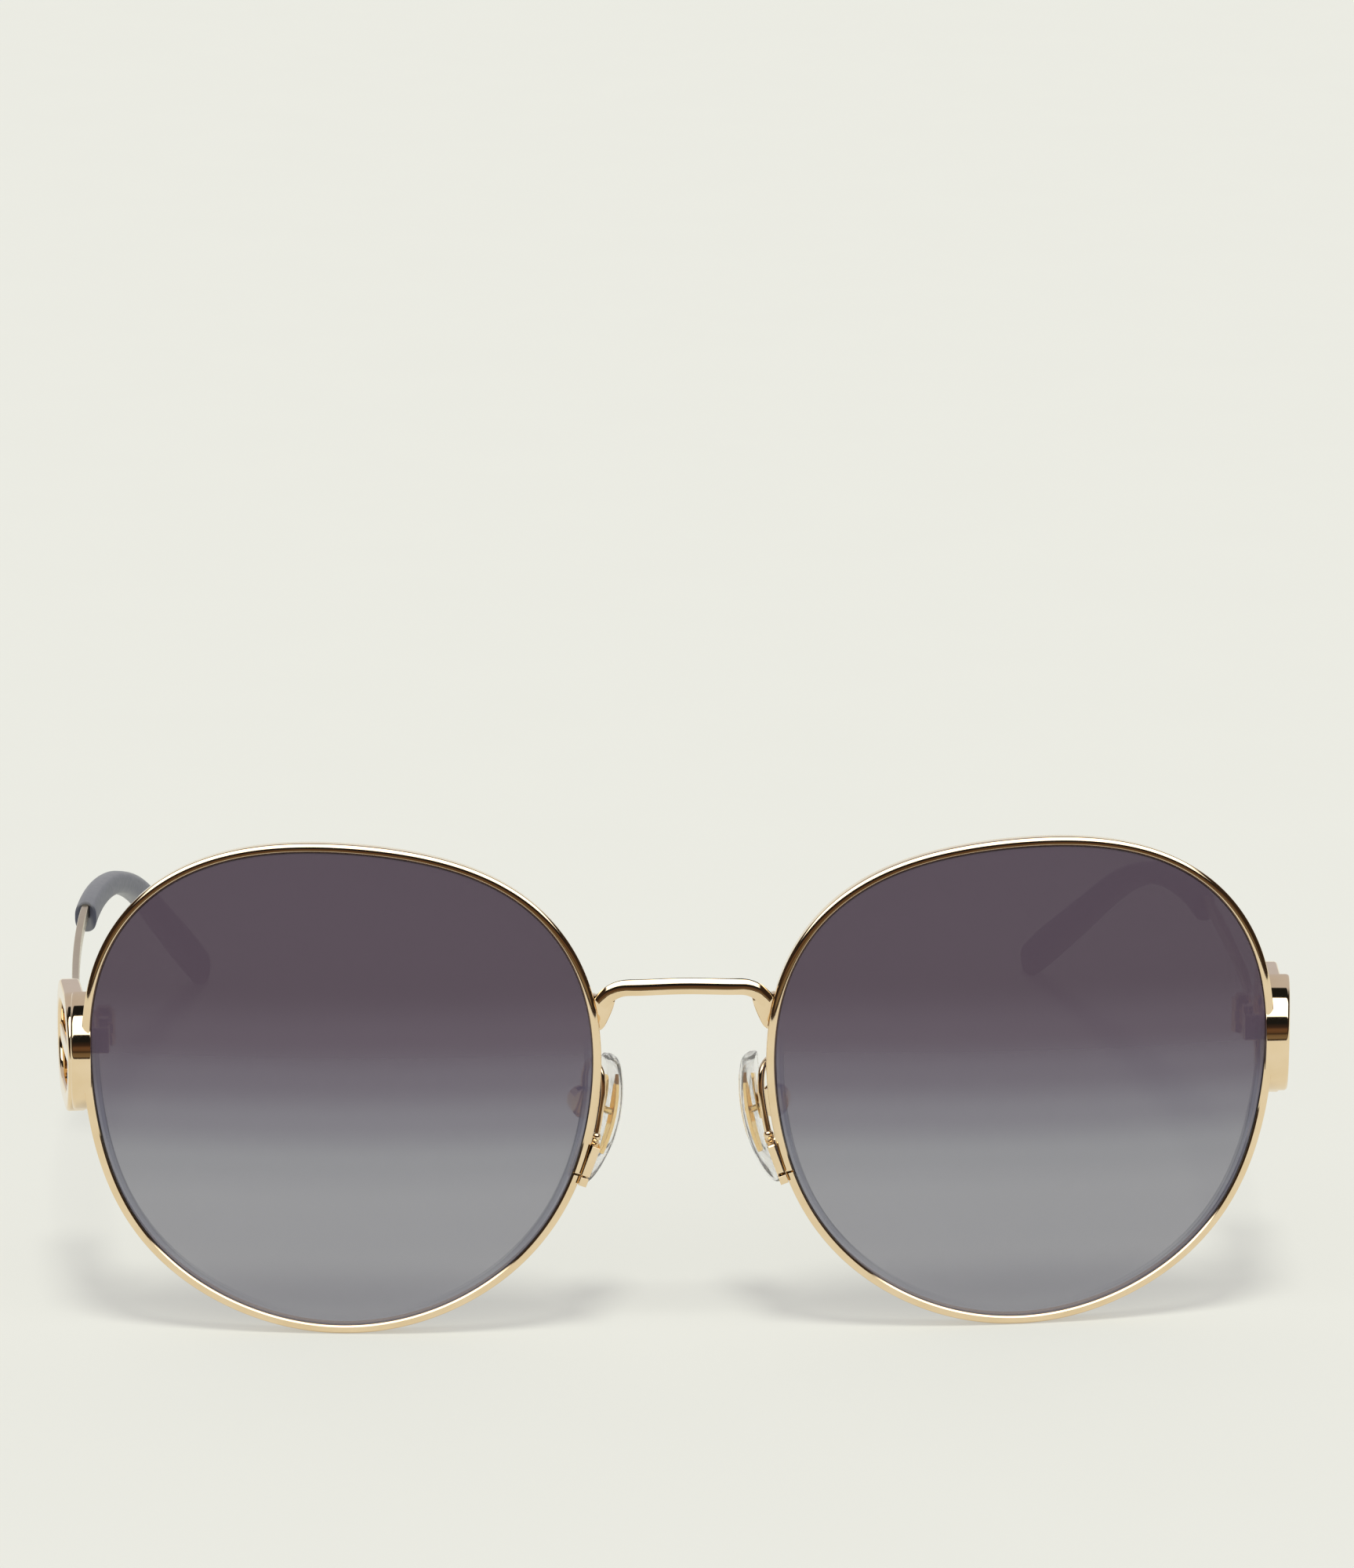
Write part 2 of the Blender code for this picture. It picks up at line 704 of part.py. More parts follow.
def knuckle_heights():
    """The three knuckles' lower and upper ends, counted from the hinge's middle."""
    half = HINGE_HEIGHT / 2
    inner = half - KNUCKLE - KNUCKLE_GAP
    return (-half, KNUCKLE - half), (-inner, inner), (half - KNUCKLE, half)


def build_front_leaf(label, side, parent):
    """The hinge's front half: a leaf behind the lug with an upper and a lower knuckle."""
    bottom, middle, top = knuckle_heights()
    axis = Vector((side * HINGE_X, HINGE_Y, HINGE_RISE))
    front = LUG_BACK + SOLDER_GAP
    ends = mirrored(side, HINGE_X - HINGE_LEAF_THICKNESS / 2, HINGE_X + HINGE_LEAF_THICKNESS / 2)
    leaf = add_box(
        f"hinge_front_leaf_{label}",
        (ends[0], front, HINGE_RISE + bottom[0]),
        (ends[1], HINGE_Y, HINGE_RISE + top[1]),
        parent,
        GOLD,
    )
    for place, (low, high) in (("lower", bottom), ("upper", top)):
        knuckle = add_rod(
            f"front_knuckle_{place}_{label}",
            HINGE_BARREL_RADIUS,
            axis + Vector((0, 0, low)),
            axis + Vector((0, 0, high)),
            parent,
            None,
        )
        combine(leaf, knuckle, "UNION")
    room = HINGE_BARREL_RADIUS + KNUCKLE_GAP
    gap = add_rod(
        f"front_leaf_gap_{label}",
        room,
        axis + Vector((0, 0, middle[0] - KNUCKLE_GAP)),
        axis + Vector((0, 0, middle[1] + KNUCKLE_GAP)),
        parent,
        None,
    )
    combine(leaf, gap, "DIFFERENCE")
    bore = add_rod(
        f"front_leaf_bore_{label}",
        HINGE_SCREW_RADIUS + SCREW_CLEARANCE,
        axis + Vector((0, 0, bottom[0] - OVERRUN)),
        axis + Vector((0, 0, top[1] + OVERRUN)),
        parent,
        None,
    )
    combine(leaf, bore, "DIFFERENCE")
    return leaf


def build_hinge_screw(label, side, parent):
    """The screw that is the hinge's pin, its head above the upper knuckle."""
    bottom, _, top = knuckle_heights()
    axis = Vector((side * HINGE_X, HINGE_Y, HINGE_RISE))
    seat = top[1] + SCREW_CLEARANCE
    screw = add_rod(
        f"hinge_screw_{label}",
        HINGE_SCREW_RADIUS,
        axis + Vector((0, 0, bottom[0])),
        axis + Vector((0, 0, seat + HINGE_SCREW_HEAD)),
        parent,
        SCREW,
    )
    head = add_rod(
        f"hinge_screw_head_{label}",
        HINGE_SCREW_HEAD_RADIUS,
        axis + Vector((0, 0, seat)),
        axis + Vector((0, 0, seat + HINGE_SCREW_HEAD)),
        parent,
        None,
    )
    combine(screw, head, "UNION")
    return screw


def build_temple_leaf(label, side, parent):
    """The hinge's rear half, in the temple's frame: a knuckle with a plate along the link."""
    _, middle, _ = knuckle_heights()
    plate_out = link_inner() - SOLDER_GAP
    ends = mirrored(side, plate_out - TEMPLE_LEAF_THICKNESS, plate_out)
    leaf = add_box(
        f"hinge_temple_leaf_{label}",
        (ends[0], HINGE_BARREL_RADIUS + KNUCKLE_GAP, -TEMPLE_LEAF_DROP),
        (ends[1], TEMPLE_LEAF_LENGTH, HINGE_HEIGHT / 2),
        parent,
        GOLD,
    )
    tongue = add_box(
        f"temple_leaf_tongue_{label}",
        (min(0, side * plate_out), 0, middle[0]),
        (max(0, side * plate_out), HINGE_BARREL_RADIUS + 2 * KNUCKLE_GAP, middle[1]),
        parent,
        None,
    )
    knuckle = add_rod(
        f"temple_knuckle_{label}",
        HINGE_BARREL_RADIUS,
        (0, 0, middle[0]),
        (0, 0, middle[1]),
        parent,
        None,
    )
    bore = add_rod(
        f"temple_leaf_bore_{label}",
        HINGE_SCREW_RADIUS + SCREW_CLEARANCE,
        (0, 0, middle[0] - OVERRUN),
        (0, 0, middle[1] + OVERRUN),
        parent,
        None,
    )
    combine(leaf, tongue, "UNION")
    combine(leaf, knuckle, "UNION")
    combine(leaf, bore, "DIFFERENCE")
    return leaf


# Temples, each in a frame on its hinge's axis: Y back along the link, Z up


def link_inner():
    """The link's inner face, which lies against the hinge's leaf and the bar."""
    return HINGE_BARREL_RADIUS + 2 * SOLDER_GAP + TEMPLE_LEAF_THICKNESS


LINK_PLANE = link_inner() + LINK_THICKNESS / 2
LINK_FRONT = -LINK_LEAD
LINK_BACK = LINK_FRONT + LINK_LENGTH


def link_outline(radius, bar_half=None, upward=1):
    """An oval of two half rounds, or the part of it above or below the middle bar."""
    reach = LINK_LENGTH / 2 - LINK_HEIGHT / 2
    steps = ROUND_SIDES // 2
    start = 0.0 if bar_half is None else math.asin(bar_half / radius)
    outline = []
    for centre, first in ((reach, 0.0), (-reach, math.pi / 2)):
        for i in range(steps + 1):
            angle = first + math.pi / 2 * i / steps
            angle = min(max(angle, start), math.pi - start)
            outline.append((centre + radius * math.cos(angle), upward * radius * math.sin(angle)))
    if bar_half is None:
        outline += [(-x, -y) for x, y in outline]
    unique = []
    for point in outline:
        if not unique or (Vector(point) - Vector(unique[-1])).length > WELD:
            unique.append(point)
    return unique


def build_link(label, side, parent):
    """The oval link, a ring with a middle bar, standing on the temple's outer side."""
    outer = LINK_HEIGHT / 2
    inner = outer - LINK_BAND
    bar_half = LINK_BAR_HEIGHT / 2
    outlines = [link_outline(outer), link_outline(inner, bar_half, 1), link_outline(inner, bar_half, -1)]
    link = add_outline(f"temple_link_{label}", outlines, LINK_THICKNESS, parent, GOLD)
    link.rotation_euler = (math.pi / 2, 0, math.pi / 2)
    link.location = (side * LINK_PLANE, (LINK_FRONT + LINK_BACK) / 2, -LINK_DROP)
    weld_caps(link)
    round_edges(link, LINK_EDGE_BEVEL)
    return link


def temple_point(side, share):
    """A point of the temple's middle line, by its share of the reach from hinge to tip."""
    x = link_inner() - SOLDER_GAP - BAR_WIDTH / 2 - TEMPLE_INWARD * read_shares(BOW_SHARES, share)
    return Vector((side * x, TEMPLE_REACH * share, TIP_DROP * read_shares(SIDE_SHARES, share)))


def temple_axes(side, share):
    """The temple's direction at a place, with the directions across it and up."""
    step = 1 / RIM_STEPS
    ahead = temple_point(side, min(share + step, 1.0))
    behind = temple_point(side, max(share - step, SIDE_SHARES[0][0]))
    along = (ahead - behind).normalized()
    across = along.cross(Vector((0, 0, 1))).normalized()
    return along, across, across.cross(along)


def build_bar(label, side, parent, profile):
    """The flat temple bar, from the hinge's leaf, past the link, to deep inside the tip."""
    first = (TEMPLE_LEAF_LENGTH + SOLDER_GAP) / TEMPLE_REACH
    last = 1 - CORE_STOP / TEMPLE_REACH
    steps = TIP_STEPS * 2
    points = [temple_point(side, first + (last - first) * i / steps) for i in range(steps + 1)]
    return add_sweep(f"temple_bar_{label}", points, profile, parent, GOLD)


def tip_ring(side, share, half_width, half_height, power, sag=0.0):
    """One section of the tip, square to the temple's middle line."""
    along, across, up = temple_axes(side, share)
    centre = temple_point(side, share) - up * sag
    section = superellipse(half_width, half_height, power, TIP_SIDES)
    return [centre + across * x + up * y for x, y in section]


def build_tip(label, side, parent):
    """The sleeve over the bar's end: thin at the bend, broad at its tip, hollow for the bar."""
    start = 1 - TIP_LENGTH_SHARE
    stop = 1 - (CORE_STOP - CORE_CLEARANCE) / TEMPLE_REACH
    bore = (BAR_WIDTH / 2 + CORE_CLEARANCE, BAR_HEIGHT / 2 + CORE_CLEARANCE, PLATE_POWER)
    rings = []
    for i in range(TIP_STEPS + 1):
        share = stop + (start - stop) * i / TIP_STEPS
        rings.append(tip_ring(side, share, *bore))
    round_share = TIP_END_ROUND / TEMPLE_REACH
    for i in range(TIP_STEPS + 1):
        t = i / TIP_STEPS
        share = start + (1 - round_share - start) * t
        wide = TIP_WIDTH / 2 * read_shares([row[:2] for row in TIP_SECTION_SHARES], t)
        high = TIP_HEIGHT / 2 * read_shares([(row[0], row[2]) for row in TIP_SECTION_SHARES], t)
        sag = TIP_FRONT_SAG * max(1 - t / TIP_SECTION_SHARES[1][0], 0.0)
        rings.append(tip_ring(side, share, wide, high, SOFT_POWER, sag))
    for turn in (30, 55, 75):
        angle = math.radians(turn)
        share = 1 - round_share + round_share * math.sin(angle)
        size = math.cos(angle)
        last = TIP_SECTION_SHARES[-1]
        wide = (TIP_WIDTH * last[1] / 2 - TIP_END_ROUND / 2) + TIP_END_ROUND / 2 * size
        high = (TIP_HEIGHT * last[2] / 2 - TIP_END_ROUND) + TIP_END_ROUND * size
        rings.append(tip_ring(side, share, wide, high, SOFT_POWER))
    return add_loft(f"temple_tip_{label}", rings, parent, SLEEVE)


# Nose pads, each in a frame at its middle: Z up along it, Y back across it, X square to both


def pad_matrix(side):
    """The pad's place and lean: its top towards the nose, its rear edge spread outwards."""
    up = Vector((-side * math.sin(PAD_TILT), 0, math.cos(PAD_TILT)))
    back = Vector((side * math.sin(PAD_SPLAY), math.cos(PAD_SPLAY), 0))
    back = (back - up * back.dot(up)).normalized()
    out = back.cross(up)
    place = Vector((side * PAD_SIDE, PAD_BACK, -PAD_DROP))
    turn = Matrix((out, back, up)).transposed().to_4x4()
    return Matrix.Translation(place) @ turn


def pad_section(share, length, width, thickness, lift, power, shift=0.0):
    """One level section of a pad or its core, bowed so that its middle stands to the nose."""
    height = length / 2 * share
    bow = PAD_BOW * (2 * (height + shift) / PAD_LENGTH) ** 2
    size = max(read_shares(PAD_WIDTH_SHARES, share), 0.0)
    fullness = min(size * 2, 1.0) if power < PLATE_POWER else 1.0
    section = superellipse(width / 2 * size, thickness / 2 * fullness, power, PAD_SIDES)
    return height + shift, bow + lift, section


def add_pad_loft(name, side, parent, material, length, width, thickness, lift, power, shift=0.0):
    """A bowed teardrop: sections from its foot to its top. Lift is towards the frame."""
    rings = []
    for i in range(PAD_STEPS + 1):
        share = -math.cos(math.pi * (0.04 + 0.92 * i / PAD_STEPS))
        height, away, section = pad_section(share, length, width, thickness, lift, power, shift)
        rings.append([Vector((side * (away + y), x, height)) for x, y in section])
    return add_loft(name, rings, parent, material)


def build_pad(label, side, front):
    """The soft pad, its metal core with the eye, and the box, screw and arm that carry them."""
    seat = pad_matrix(side) @ Matrix.Translation((side * PAD_BOX_OFFSET, 0, PAD_BOX_RISE))
    frame = add_empty(f"pad_pivot_{label}", front)
    frame.matrix_basis = seat
    box_frame = add_empty(f"pad_box_frame_{label}", front)
    box_frame.matrix_basis = seat
    lean = add_empty(f"pad_middle_{label}", frame, (-side * PAD_BOX_OFFSET, 0, -PAD_BOX_RISE))
    pad = add_pad_loft(
        f"nose_pad_{label}", side, lean, SILICONE, PAD_LENGTH, PAD_WIDTH, PAD_THICKNESS, 0.0, SOFT_POWER
    )
    pocket = add_pad_loft(
        f"pad_pocket_{label}",
        side,
        lean,
        None,
        CORE_LENGTH + 2 * CORE_CLEARANCE,
        CORE_WIDTH + 2 * CORE_CLEARANCE,
        PAD_THICKNESS,
        PAD_SKIN,
        PLATE_POWER,
        CORE_RISE,
    )
    combine(pad, pocket, "DIFFERENCE")
    core_lift = PAD_SKIN + CORE_CLEARANCE + CORE_THICKNESS / 2 - PAD_THICKNESS / 2
    core = add_pad_loft(
        f"pad_core_{label}",
        side,
        lean,
        GOLD,
        CORE_LENGTH,
        CORE_WIDTH,
        CORE_THICKNESS,
        core_lift,
        PLATE_POWER,
        CORE_RISE,
    )
    half_eye = EYE_THICKNESS / 2
    eye = add_rod(f"pad_eye_{label}", EYE_RADIUS, (0, -half_eye, 0), (0, half_eye, 0), frame, None)
    stem = add_rod(
        f"pad_stem_{label}",
        half_eye,
        (side * (core_lift - PAD_BOX_OFFSET), 0, 0),
        (0, 0, 0),
        frame,
        None,
    )
    hole = add_rod(
        f"pad_eye_hole_{label}",
        PAD_SCREW_RADIUS + SCREW_CLEARANCE,
        (0, -EYE_THICKNESS, 0),
        (0, EYE_THICKNESS, 0),
        frame,
        None,
    )
    combine(core, stem, "UNION")
    combine(core, eye, "UNION")
    combine(core, hole, "DIFFERENCE")
    half_box = PAD_BOX_LENGTH / 2
    box = add_rod(
        f"pad_box_{label}", PAD_BOX_RADIUS, (0, -half_box, 0), (0, half_box, 0), box_frame, GOLD
    )
    slot = half_eye + 2 * SCREW_CLEARANCE
    ends = mirrored(side, EYE_RADIUS + 2 * SCREW_CLEARANCE, -PAD_BOX_RADIUS - OVERRUN)
    cut = add_box(
        f"pad_box_slot_{label}",
        (ends[0], -slot, -PAD_BOX_RADIUS - OVERRUN),
        (ends[1], slot, PAD_BOX_RADIUS + OVERRUN),
        box_frame,
        None,
    )
    combine(box, cut, "DIFFERENCE")
    bore = add_rod(
        f"pad_box_bore_{label}",
        PAD_SCREW_RADIUS + SCREW_CLEARANCE,
        (0, -half_box - OVERRUN, 0),
        (0, half_box + OVERRUN, 0),
        box_frame,
        None,
    )
    combine(box, bore, "DIFFERENCE")
    head_seat = half_box + SCREW_CLEARANCE
    screw = add_rod(
        f"pad_screw_{label}",
        PAD_SCREW_RADIUS,
        (0, -half_box, 0),
        (0, head_seat + PAD_SCREW_HEAD, 0),
        box_frame,
        SCREW,
    )
    head = add_rod(
        f"pad_screw_head_{label}",
        PAD_SCREW_HEAD_RADIUS,
        (0, head_seat, 0),
        (0, head_seat + PAD_SCREW_HEAD, 0),
        box_frame,
        None,
    )
    combine(screw, head, "UNION")
    build_arm(label, side, front, seat)
    return pad


def build_arm(label, side, front, seat):
    """The wire from the closing block's top, up behind the rim and over to the pad box."""
    origin, up, outward, back = split_frame(side)
    root = (
        origin
        + up * (SPLIT_GAP / 2 + UPPER_BLOCK_LENGTH + SOLDER_GAP + ARM_RADIUS)
        + outward * (RIM_WIDTH + ARM_RADIUS)
        + back * (RIM_DEPTH / 2 + SEAT_GAP + ARM_RADIUS)
    )
    box_top = seat @ Vector((side * ARM_RADIUS, 0, PAD_BOX_RADIUS + SOLDER_GAP))
    reach, rise = box_top - root, ARM_TOP - root.z
    bend = -side * ARM_RADIUS
    points = [
        root,
        root + Vector((bend, reach.y * 0.1, rise * 0.25)),
        root + Vector((bend * 2, reach.y * 0.22, rise * 0.6)),
        root + Vector((bend * 1.6, reach.y * 0.36, rise * 0.88)),
        root + Vector((reach.x * 0.1, reach.y * 0.55, rise)),
        root + Vector((reach.x * 0.55, reach.y * 0.8, rise * 0.95)),
        root + Vector((reach.x * 0.95, reach.y * 0.98, rise * 0.75)),
        box_top,
    ]
    return add_wire(f"pad_arm_{label}", smooth_route(points, 4), ARM_RADIUS, front, GOLD)


# Assembly


def lowest(names):
    """The (y, z) of the lowest point of the named pieces."""
    bpy.context.view_layer.update()
    graph = bpy.context.evaluated_depsgraph_get()
    best = None
    for name in names:
        piece = bpy.data.objects[name].evaluated_get(graph)
        mesh = piece.to_mesh()
        for vertex in mesh.vertices:
            place = piece.matrix_world @ vertex.co
            if best is None or place.z < best.z:
                best = place
        piece.to_mesh_clear()
    return best


def reach_of_all():
    """The least and greatest Y of all the pieces."""
    graph = bpy.context.evaluated_depsgraph_get()
    reach = []
    for piece in pieces.objects:
        if piece.type in ("MESH", "CURVE"):
            piece = piece.evaluated_get(graph)
            mesh = piece.to_mesh()
            reach += [(piece.matrix_world @ vertex.co).y for vertex in mesh.vertices]
            piece.to_mesh_clear()
    return min(reach), max(reach)


def stand_up(front):
    """Leans the front back until rims and tips share a floor, and centres it over the origin."""
    rims = [f"rim_{label}" for label, _ in SIDES]
    tips = [f"temple_tip_{label}" for label, _ in SIDES]
    lean = 0.0
    for _ in range(STAND_STEPS):
        rim_foot, tip_foot = lowest(rims), lowest(tips)
        lean -= math.atan2(tip_foot.z - rim_foot.z, tip_foot.y - rim_foot.y)
        front.rotation_euler = (lean, 0, 0)
    floor = lowest(rims + tips).z
    nearest, furthest = reach_of_all()
    front.location = (0, -(nearest + furthest) / 2, -floor)
    bpy.context.view_layer.update()
    return math.degrees(-lean)


front_frame = add_empty("front_frame")
rim_profile = add_profile("rim_section", rim_section())
bar_profile = add_profile("bar_section", chamfered(BAR_WIDTH, BAR_HEIGHT, BAR_EDGE_BEVEL))
build_bridge(front_frame)
for label, side in SIDES:
    build_rim(f"rim_{label}", side, front_frame, rim_profile)
    build_lens(f"lens_{label}", side, front_frame)
    build_closing(label, side, front_frame)
    build_end_piece(label, side, front_frame)
    build_front_leaf(label, side, front_frame)
    build_hinge_screw(label, side, front_frame)
    build_pad(label, side, front_frame)
    temple = add_empty(
        f"temple_hinge_{label}",
        front_frame,
        (side * HINGE_X, HINGE_Y, HINGE_RISE),
        -side * TEMPLE_SPLAY,
    )
    build_temple_leaf(label, side, temple)
    build_link(label, side, temple)
    build_bar(label, side, temple, bar_profile)
    build_tip(label, side, temple)
print(f"leans back {stand_up(front_frame):.2f} degrees")
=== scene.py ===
# %% [markdown]
# # Round metal sunglasses with graded lenses
# The CAD solids arrive as a fixed frame, all in metres and in one place. This lesson dresses
# them: each visible piece gets a finer mesh in the same spot, and each finish its own material.
# %% Load the frame
from math import acos, asin, atan2, copysign, cos, pi, radians, sin, sqrt, tan

import bmesh
import bpy
import numpy as np
from mathutils import Matrix, Vector


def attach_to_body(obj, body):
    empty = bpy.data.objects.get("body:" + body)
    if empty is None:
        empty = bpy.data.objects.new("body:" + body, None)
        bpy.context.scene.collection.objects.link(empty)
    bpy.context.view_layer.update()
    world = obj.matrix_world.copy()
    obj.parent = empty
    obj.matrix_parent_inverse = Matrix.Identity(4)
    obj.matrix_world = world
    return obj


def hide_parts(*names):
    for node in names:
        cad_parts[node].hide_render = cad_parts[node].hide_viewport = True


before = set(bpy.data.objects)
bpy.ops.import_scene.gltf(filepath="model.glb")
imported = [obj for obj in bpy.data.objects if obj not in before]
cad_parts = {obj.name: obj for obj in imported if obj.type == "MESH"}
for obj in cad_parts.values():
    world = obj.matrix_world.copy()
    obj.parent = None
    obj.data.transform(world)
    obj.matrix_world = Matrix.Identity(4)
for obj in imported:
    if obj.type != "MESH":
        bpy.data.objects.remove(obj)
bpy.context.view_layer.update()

MM = 0.001
SIDES = {"right": -1, "left": 1}


def mm(*values):
    """Millimetres as metres."""
    return [value * MM for value in values]


print("nodes in the frame:", len(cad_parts))

# %% [markdown]
# ## Where things are
# The front stands on its rims and leans back a few degrees until the temple tips share the
# floor. Everything on the front is modelled upright first, X across, Y back, Z up from the
# lens centres, and one matrix then leans it. Each temple has a frame of its own at its hinge.
# %% The frames that pieces are modelled in
STAND_Y, STAND_Z, STAND_LEAN = -0.06816203892230988, 0.03041543811559677, -0.08039989322423935
STAND = Matrix.Translation((0, STAND_Y, STAND_Z)) @ Matrix.Rotation(STAND_LEAN, 4, "X")
HINGE_X, HINGE_Y, HINGE_RISE = mm(67.669, 13.2083, 4.5)
TEMPLE_SPLAY = radians(5.8)


def temple_frame(side):
    place = Matrix.Translation((side * HINGE_X, HINGE_Y, HINGE_RISE))
    return STAND @ place @ Matrix.Rotation(-side * TEMPLE_SPLAY, 4, "Z")


print("hinge at", [round(v, 4) for v in temple_frame(1).translation])

# %% [markdown]
# ## Smooth meshes from sections
# Wire, bars, pads and sleeves are all one idea: a closed section carried along a route, with a
# skin through its rings of points. Corners of a section are turned into arcs, because polished
# metal shows its edges as thin bands of light, and those come only from real rounding.
# %% Sections


def rounded(corners, steps=5):
    """A closed outline through corners (x, y, radius), each turned into an arc, in millimetres."""
    outline = []
    for i, (x, y, radius) in enumerate(corners):
        here = np.array((x, y), float)
        if not radius:
            outline.append(here)
            continue
        a = np.array(corners[i - 1][:2]) - here
        b = np.array(corners[(i + 1) % len(corners)][:2]) - here
        a, b = a / np.linalg.norm(a), b / np.linalg.norm(b)
        half = acos(max(-1.0, min(1.0, float(a @ b)))) / 2
        centre = here + (a + b) / np.linalg.norm(a + b) * radius / sin(half)
        start = here + a * radius / tan(half) - centre
        end = here + b * radius / tan(half) - centre
        turn = atan2(start[0] * end[1] - start[1] * end[0], float(start @ end))
        for k in range(steps + 1):
            c, s = cos(turn * k / steps), sin(turn * k / steps)
            arm = np.array((c * start[0] - s * start[1], s * start[0] + c * start[1]))
            outline.append(centre + arm)
    return [(float(x) * MM, float(y) * MM) for x, y in outline]


def rounded_box(half_width, half_height, radius, steps=5):
    """A rectangle about its middle with rounded corners, in millimetres."""
    corners = ((1, 1), (-1, 1), (-1, -1), (1, -1))
    return rounded([(x * half_width, y * half_height, radius) for x, y in corners], steps)


def superellipse(half_width, half_height, power, count):
    """A rounded section: 2 is an ellipse, and higher powers come closer to a box."""
    section = []
    for i in range(count):
        turn = 2 * pi * (i + 0.5) / count
        c, s = cos(turn), sin(turn)
        section.append((copysign(abs(c) ** (2 / power), c) * half_width,
                        copysign(abs(s) ** (2 / power), s) * half_height))
    return section


def circle(radius, count=20):
    turns = np.linspace(0, 2 * pi, count, endpoint=False)
    return [(cos(turn) * radius, sin(turn) * radius) for turn in turns]


print("a rounded square has", len(rounded_box(1, 1, 0.2)), "points")

# %% Skins
WELD_DISTANCE, SHARP_EDGE = 1e-7, 38


def skin(bm, rings, round_trip=False):
    """Faces through rings of equally many points; the ends are capped, or joined to each other."""
    rows = [[bm.verts.new(point) for point in ring] for ring in rings]
    pairs = list(zip(rows, rows[1:])) + ([(rows[-1], rows[0])] if round_trip else [])
    for row, following in pairs:
        for i in range(len(row)):
            j = (i + 1) % len(row)
            bm.faces.new((row[i], row[j], following[j], following[i]))
    if not round_trip:
        bm.faces.new(rows[0])
        bm.faces.new(rows[-1])
    return rows


def add_object(name, data):
    thing = bpy.data.objects.new(name, data)
    bpy.context.scene.collection.objects.link(thing)
    return thing


def add_piece(name, bm, place, finish, body, *nodes, slot="gold", sharp=SHARP_EDGE):
    """A finished piece: its mesh in place, riding on a body and standing for CAD nodes."""
    bmesh.ops.remove_doubles(bm, verts=bm.verts, dist=WELD_DISTANCE)
    bmesh.ops.recalc_face_normals(bm, faces=bm.faces)
    bmesh.ops.transform(bm, matrix=place, verts=bm.verts)
    mesh = bpy.data.meshes.new(name)
    bm.to_mesh(mesh)
    bm.free()
    mesh.shade_smooth()
    mesh.set_sharp_from_angle(angle=radians(sharp))
    mesh.materials.append(finish)
    piece = add_object(name, mesh)
    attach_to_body(piece, body)
    if nodes:
        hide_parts(*nodes)
    return piece


print("edges over", SHARP_EDGE, "degrees stay sharp")

# %% Curves


def smooth_route(points, steps):
    """A smooth curve through a few chosen points, as a list of closer points."""
    points = [Vector(p) for p in points]
    route, last = [], len(points) - 1
    for i in range(last):
        before, start = points[max(i - 1, 0)], points[i]
        end, after = points[i + 1], points[min(i + 2, last)]
        for step in range(steps):
            t = step / steps
            slope = (end - before) * t
            bend = (2 * before - 5 * start + 4 * end - after) * t**2
            twist = (3 * start - before - 3 * end + after) * t**3
            route.append(0.5 * (2 * start + slope + bend + twist))
    return route + [points[-1]]


def read_shares(table, at):
    """Reads a table of shares smoothly, as the CAD does."""
    rows = list(table)
    i = next((k for k in range(len(rows) - 1) if at <= rows[k + 1][0]), len(rows) - 2)
    slopes = []
    for k in (i, i + 1):
        low, high = rows[max(k - 1, 0)], rows[min(k + 1, len(rows) - 1)]
        slopes.append((high[1] - low[1]) / (high[0] - low[0]))
    span = rows[i + 1][0] - rows[i][0]
    t = min(max((at - rows[i][0]) / span, 0.0), 1.0)
    return ((2 * t**3 - 3 * t**2 + 1) * rows[i][1] + (t**3 - 2 * t**2 + t) * span * slopes[0]
            + (3 * t**2 - 2 * t**3) * rows[i + 1][1] + (t**3 - t**2) * span * slopes[1])


def square_to(along, direction):
    """The part of a direction that is square to another, with length 1."""
    return (direction - along * direction.dot(along)).normalized()


def direction_along(route, i):
    """The way a route runs at its point i."""
    return (route[min(i + 1, len(route) - 1)] - route[max(i - 1, 0)]).normalized()


def route_length(route):
    return round(sum((b - a).length for a, b in zip(route, route[1:])) / MM, 1)


print("halfway in a table from 0 to 1:", read_shares(((0, 0), (1, 1)), 0.5))

# %% [markdown]
# ## Gold finish
# The frame is steel or nickel silver with a thin pale gold plating, polished to a mirror.
# A metal has no colour of its own under the light, only what it reflects, so the base colour is
# the plating's tint. Faint clouds in that tint, and fine polishing marks in the roughness,
# keep the long reflections from looking drawn with a ruler.
# %% Materials, noise and stored numbers


def new_material(name):
    material = bpy.data.materials.new(name)
    material.use_nodes = True
    nodes = material.node_tree.nodes
    return material, nodes, material.node_tree.links, nodes["Principled BSDF"]


def set_inputs(node, values):
    for name, value in values.items():
        node.inputs[name].default_value = value


def add_noise(nodes, links, scale, detail=3.0, stretch=(1, 1, 1)):
    """Noise fixed to the piece, in its own coordinates."""
    coordinates = nodes.new("ShaderNodeTexCoord")
    mapping = nodes.new("ShaderNodeMapping")
    mapping.inputs["Scale"].default_value = stretch
    noise = nodes.new("ShaderNodeTexNoise")
    set_inputs(noise, {"Scale": scale, "Detail": detail})
    links.new(coordinates.outputs["Object"], mapping.inputs["Vector"])
    links.new(mapping.outputs["Vector"], noise.inputs["Vector"])
    return noise.outputs["Fac"]


def add_attribute(nodes, name):
    """A number that the mesh stores at each of its points."""
    attribute = nodes.new("ShaderNodeAttribute")
    attribute.attribute_name = name
    return attribute.outputs["Fac"]


print("each noise goes by its piece's own coordinates")

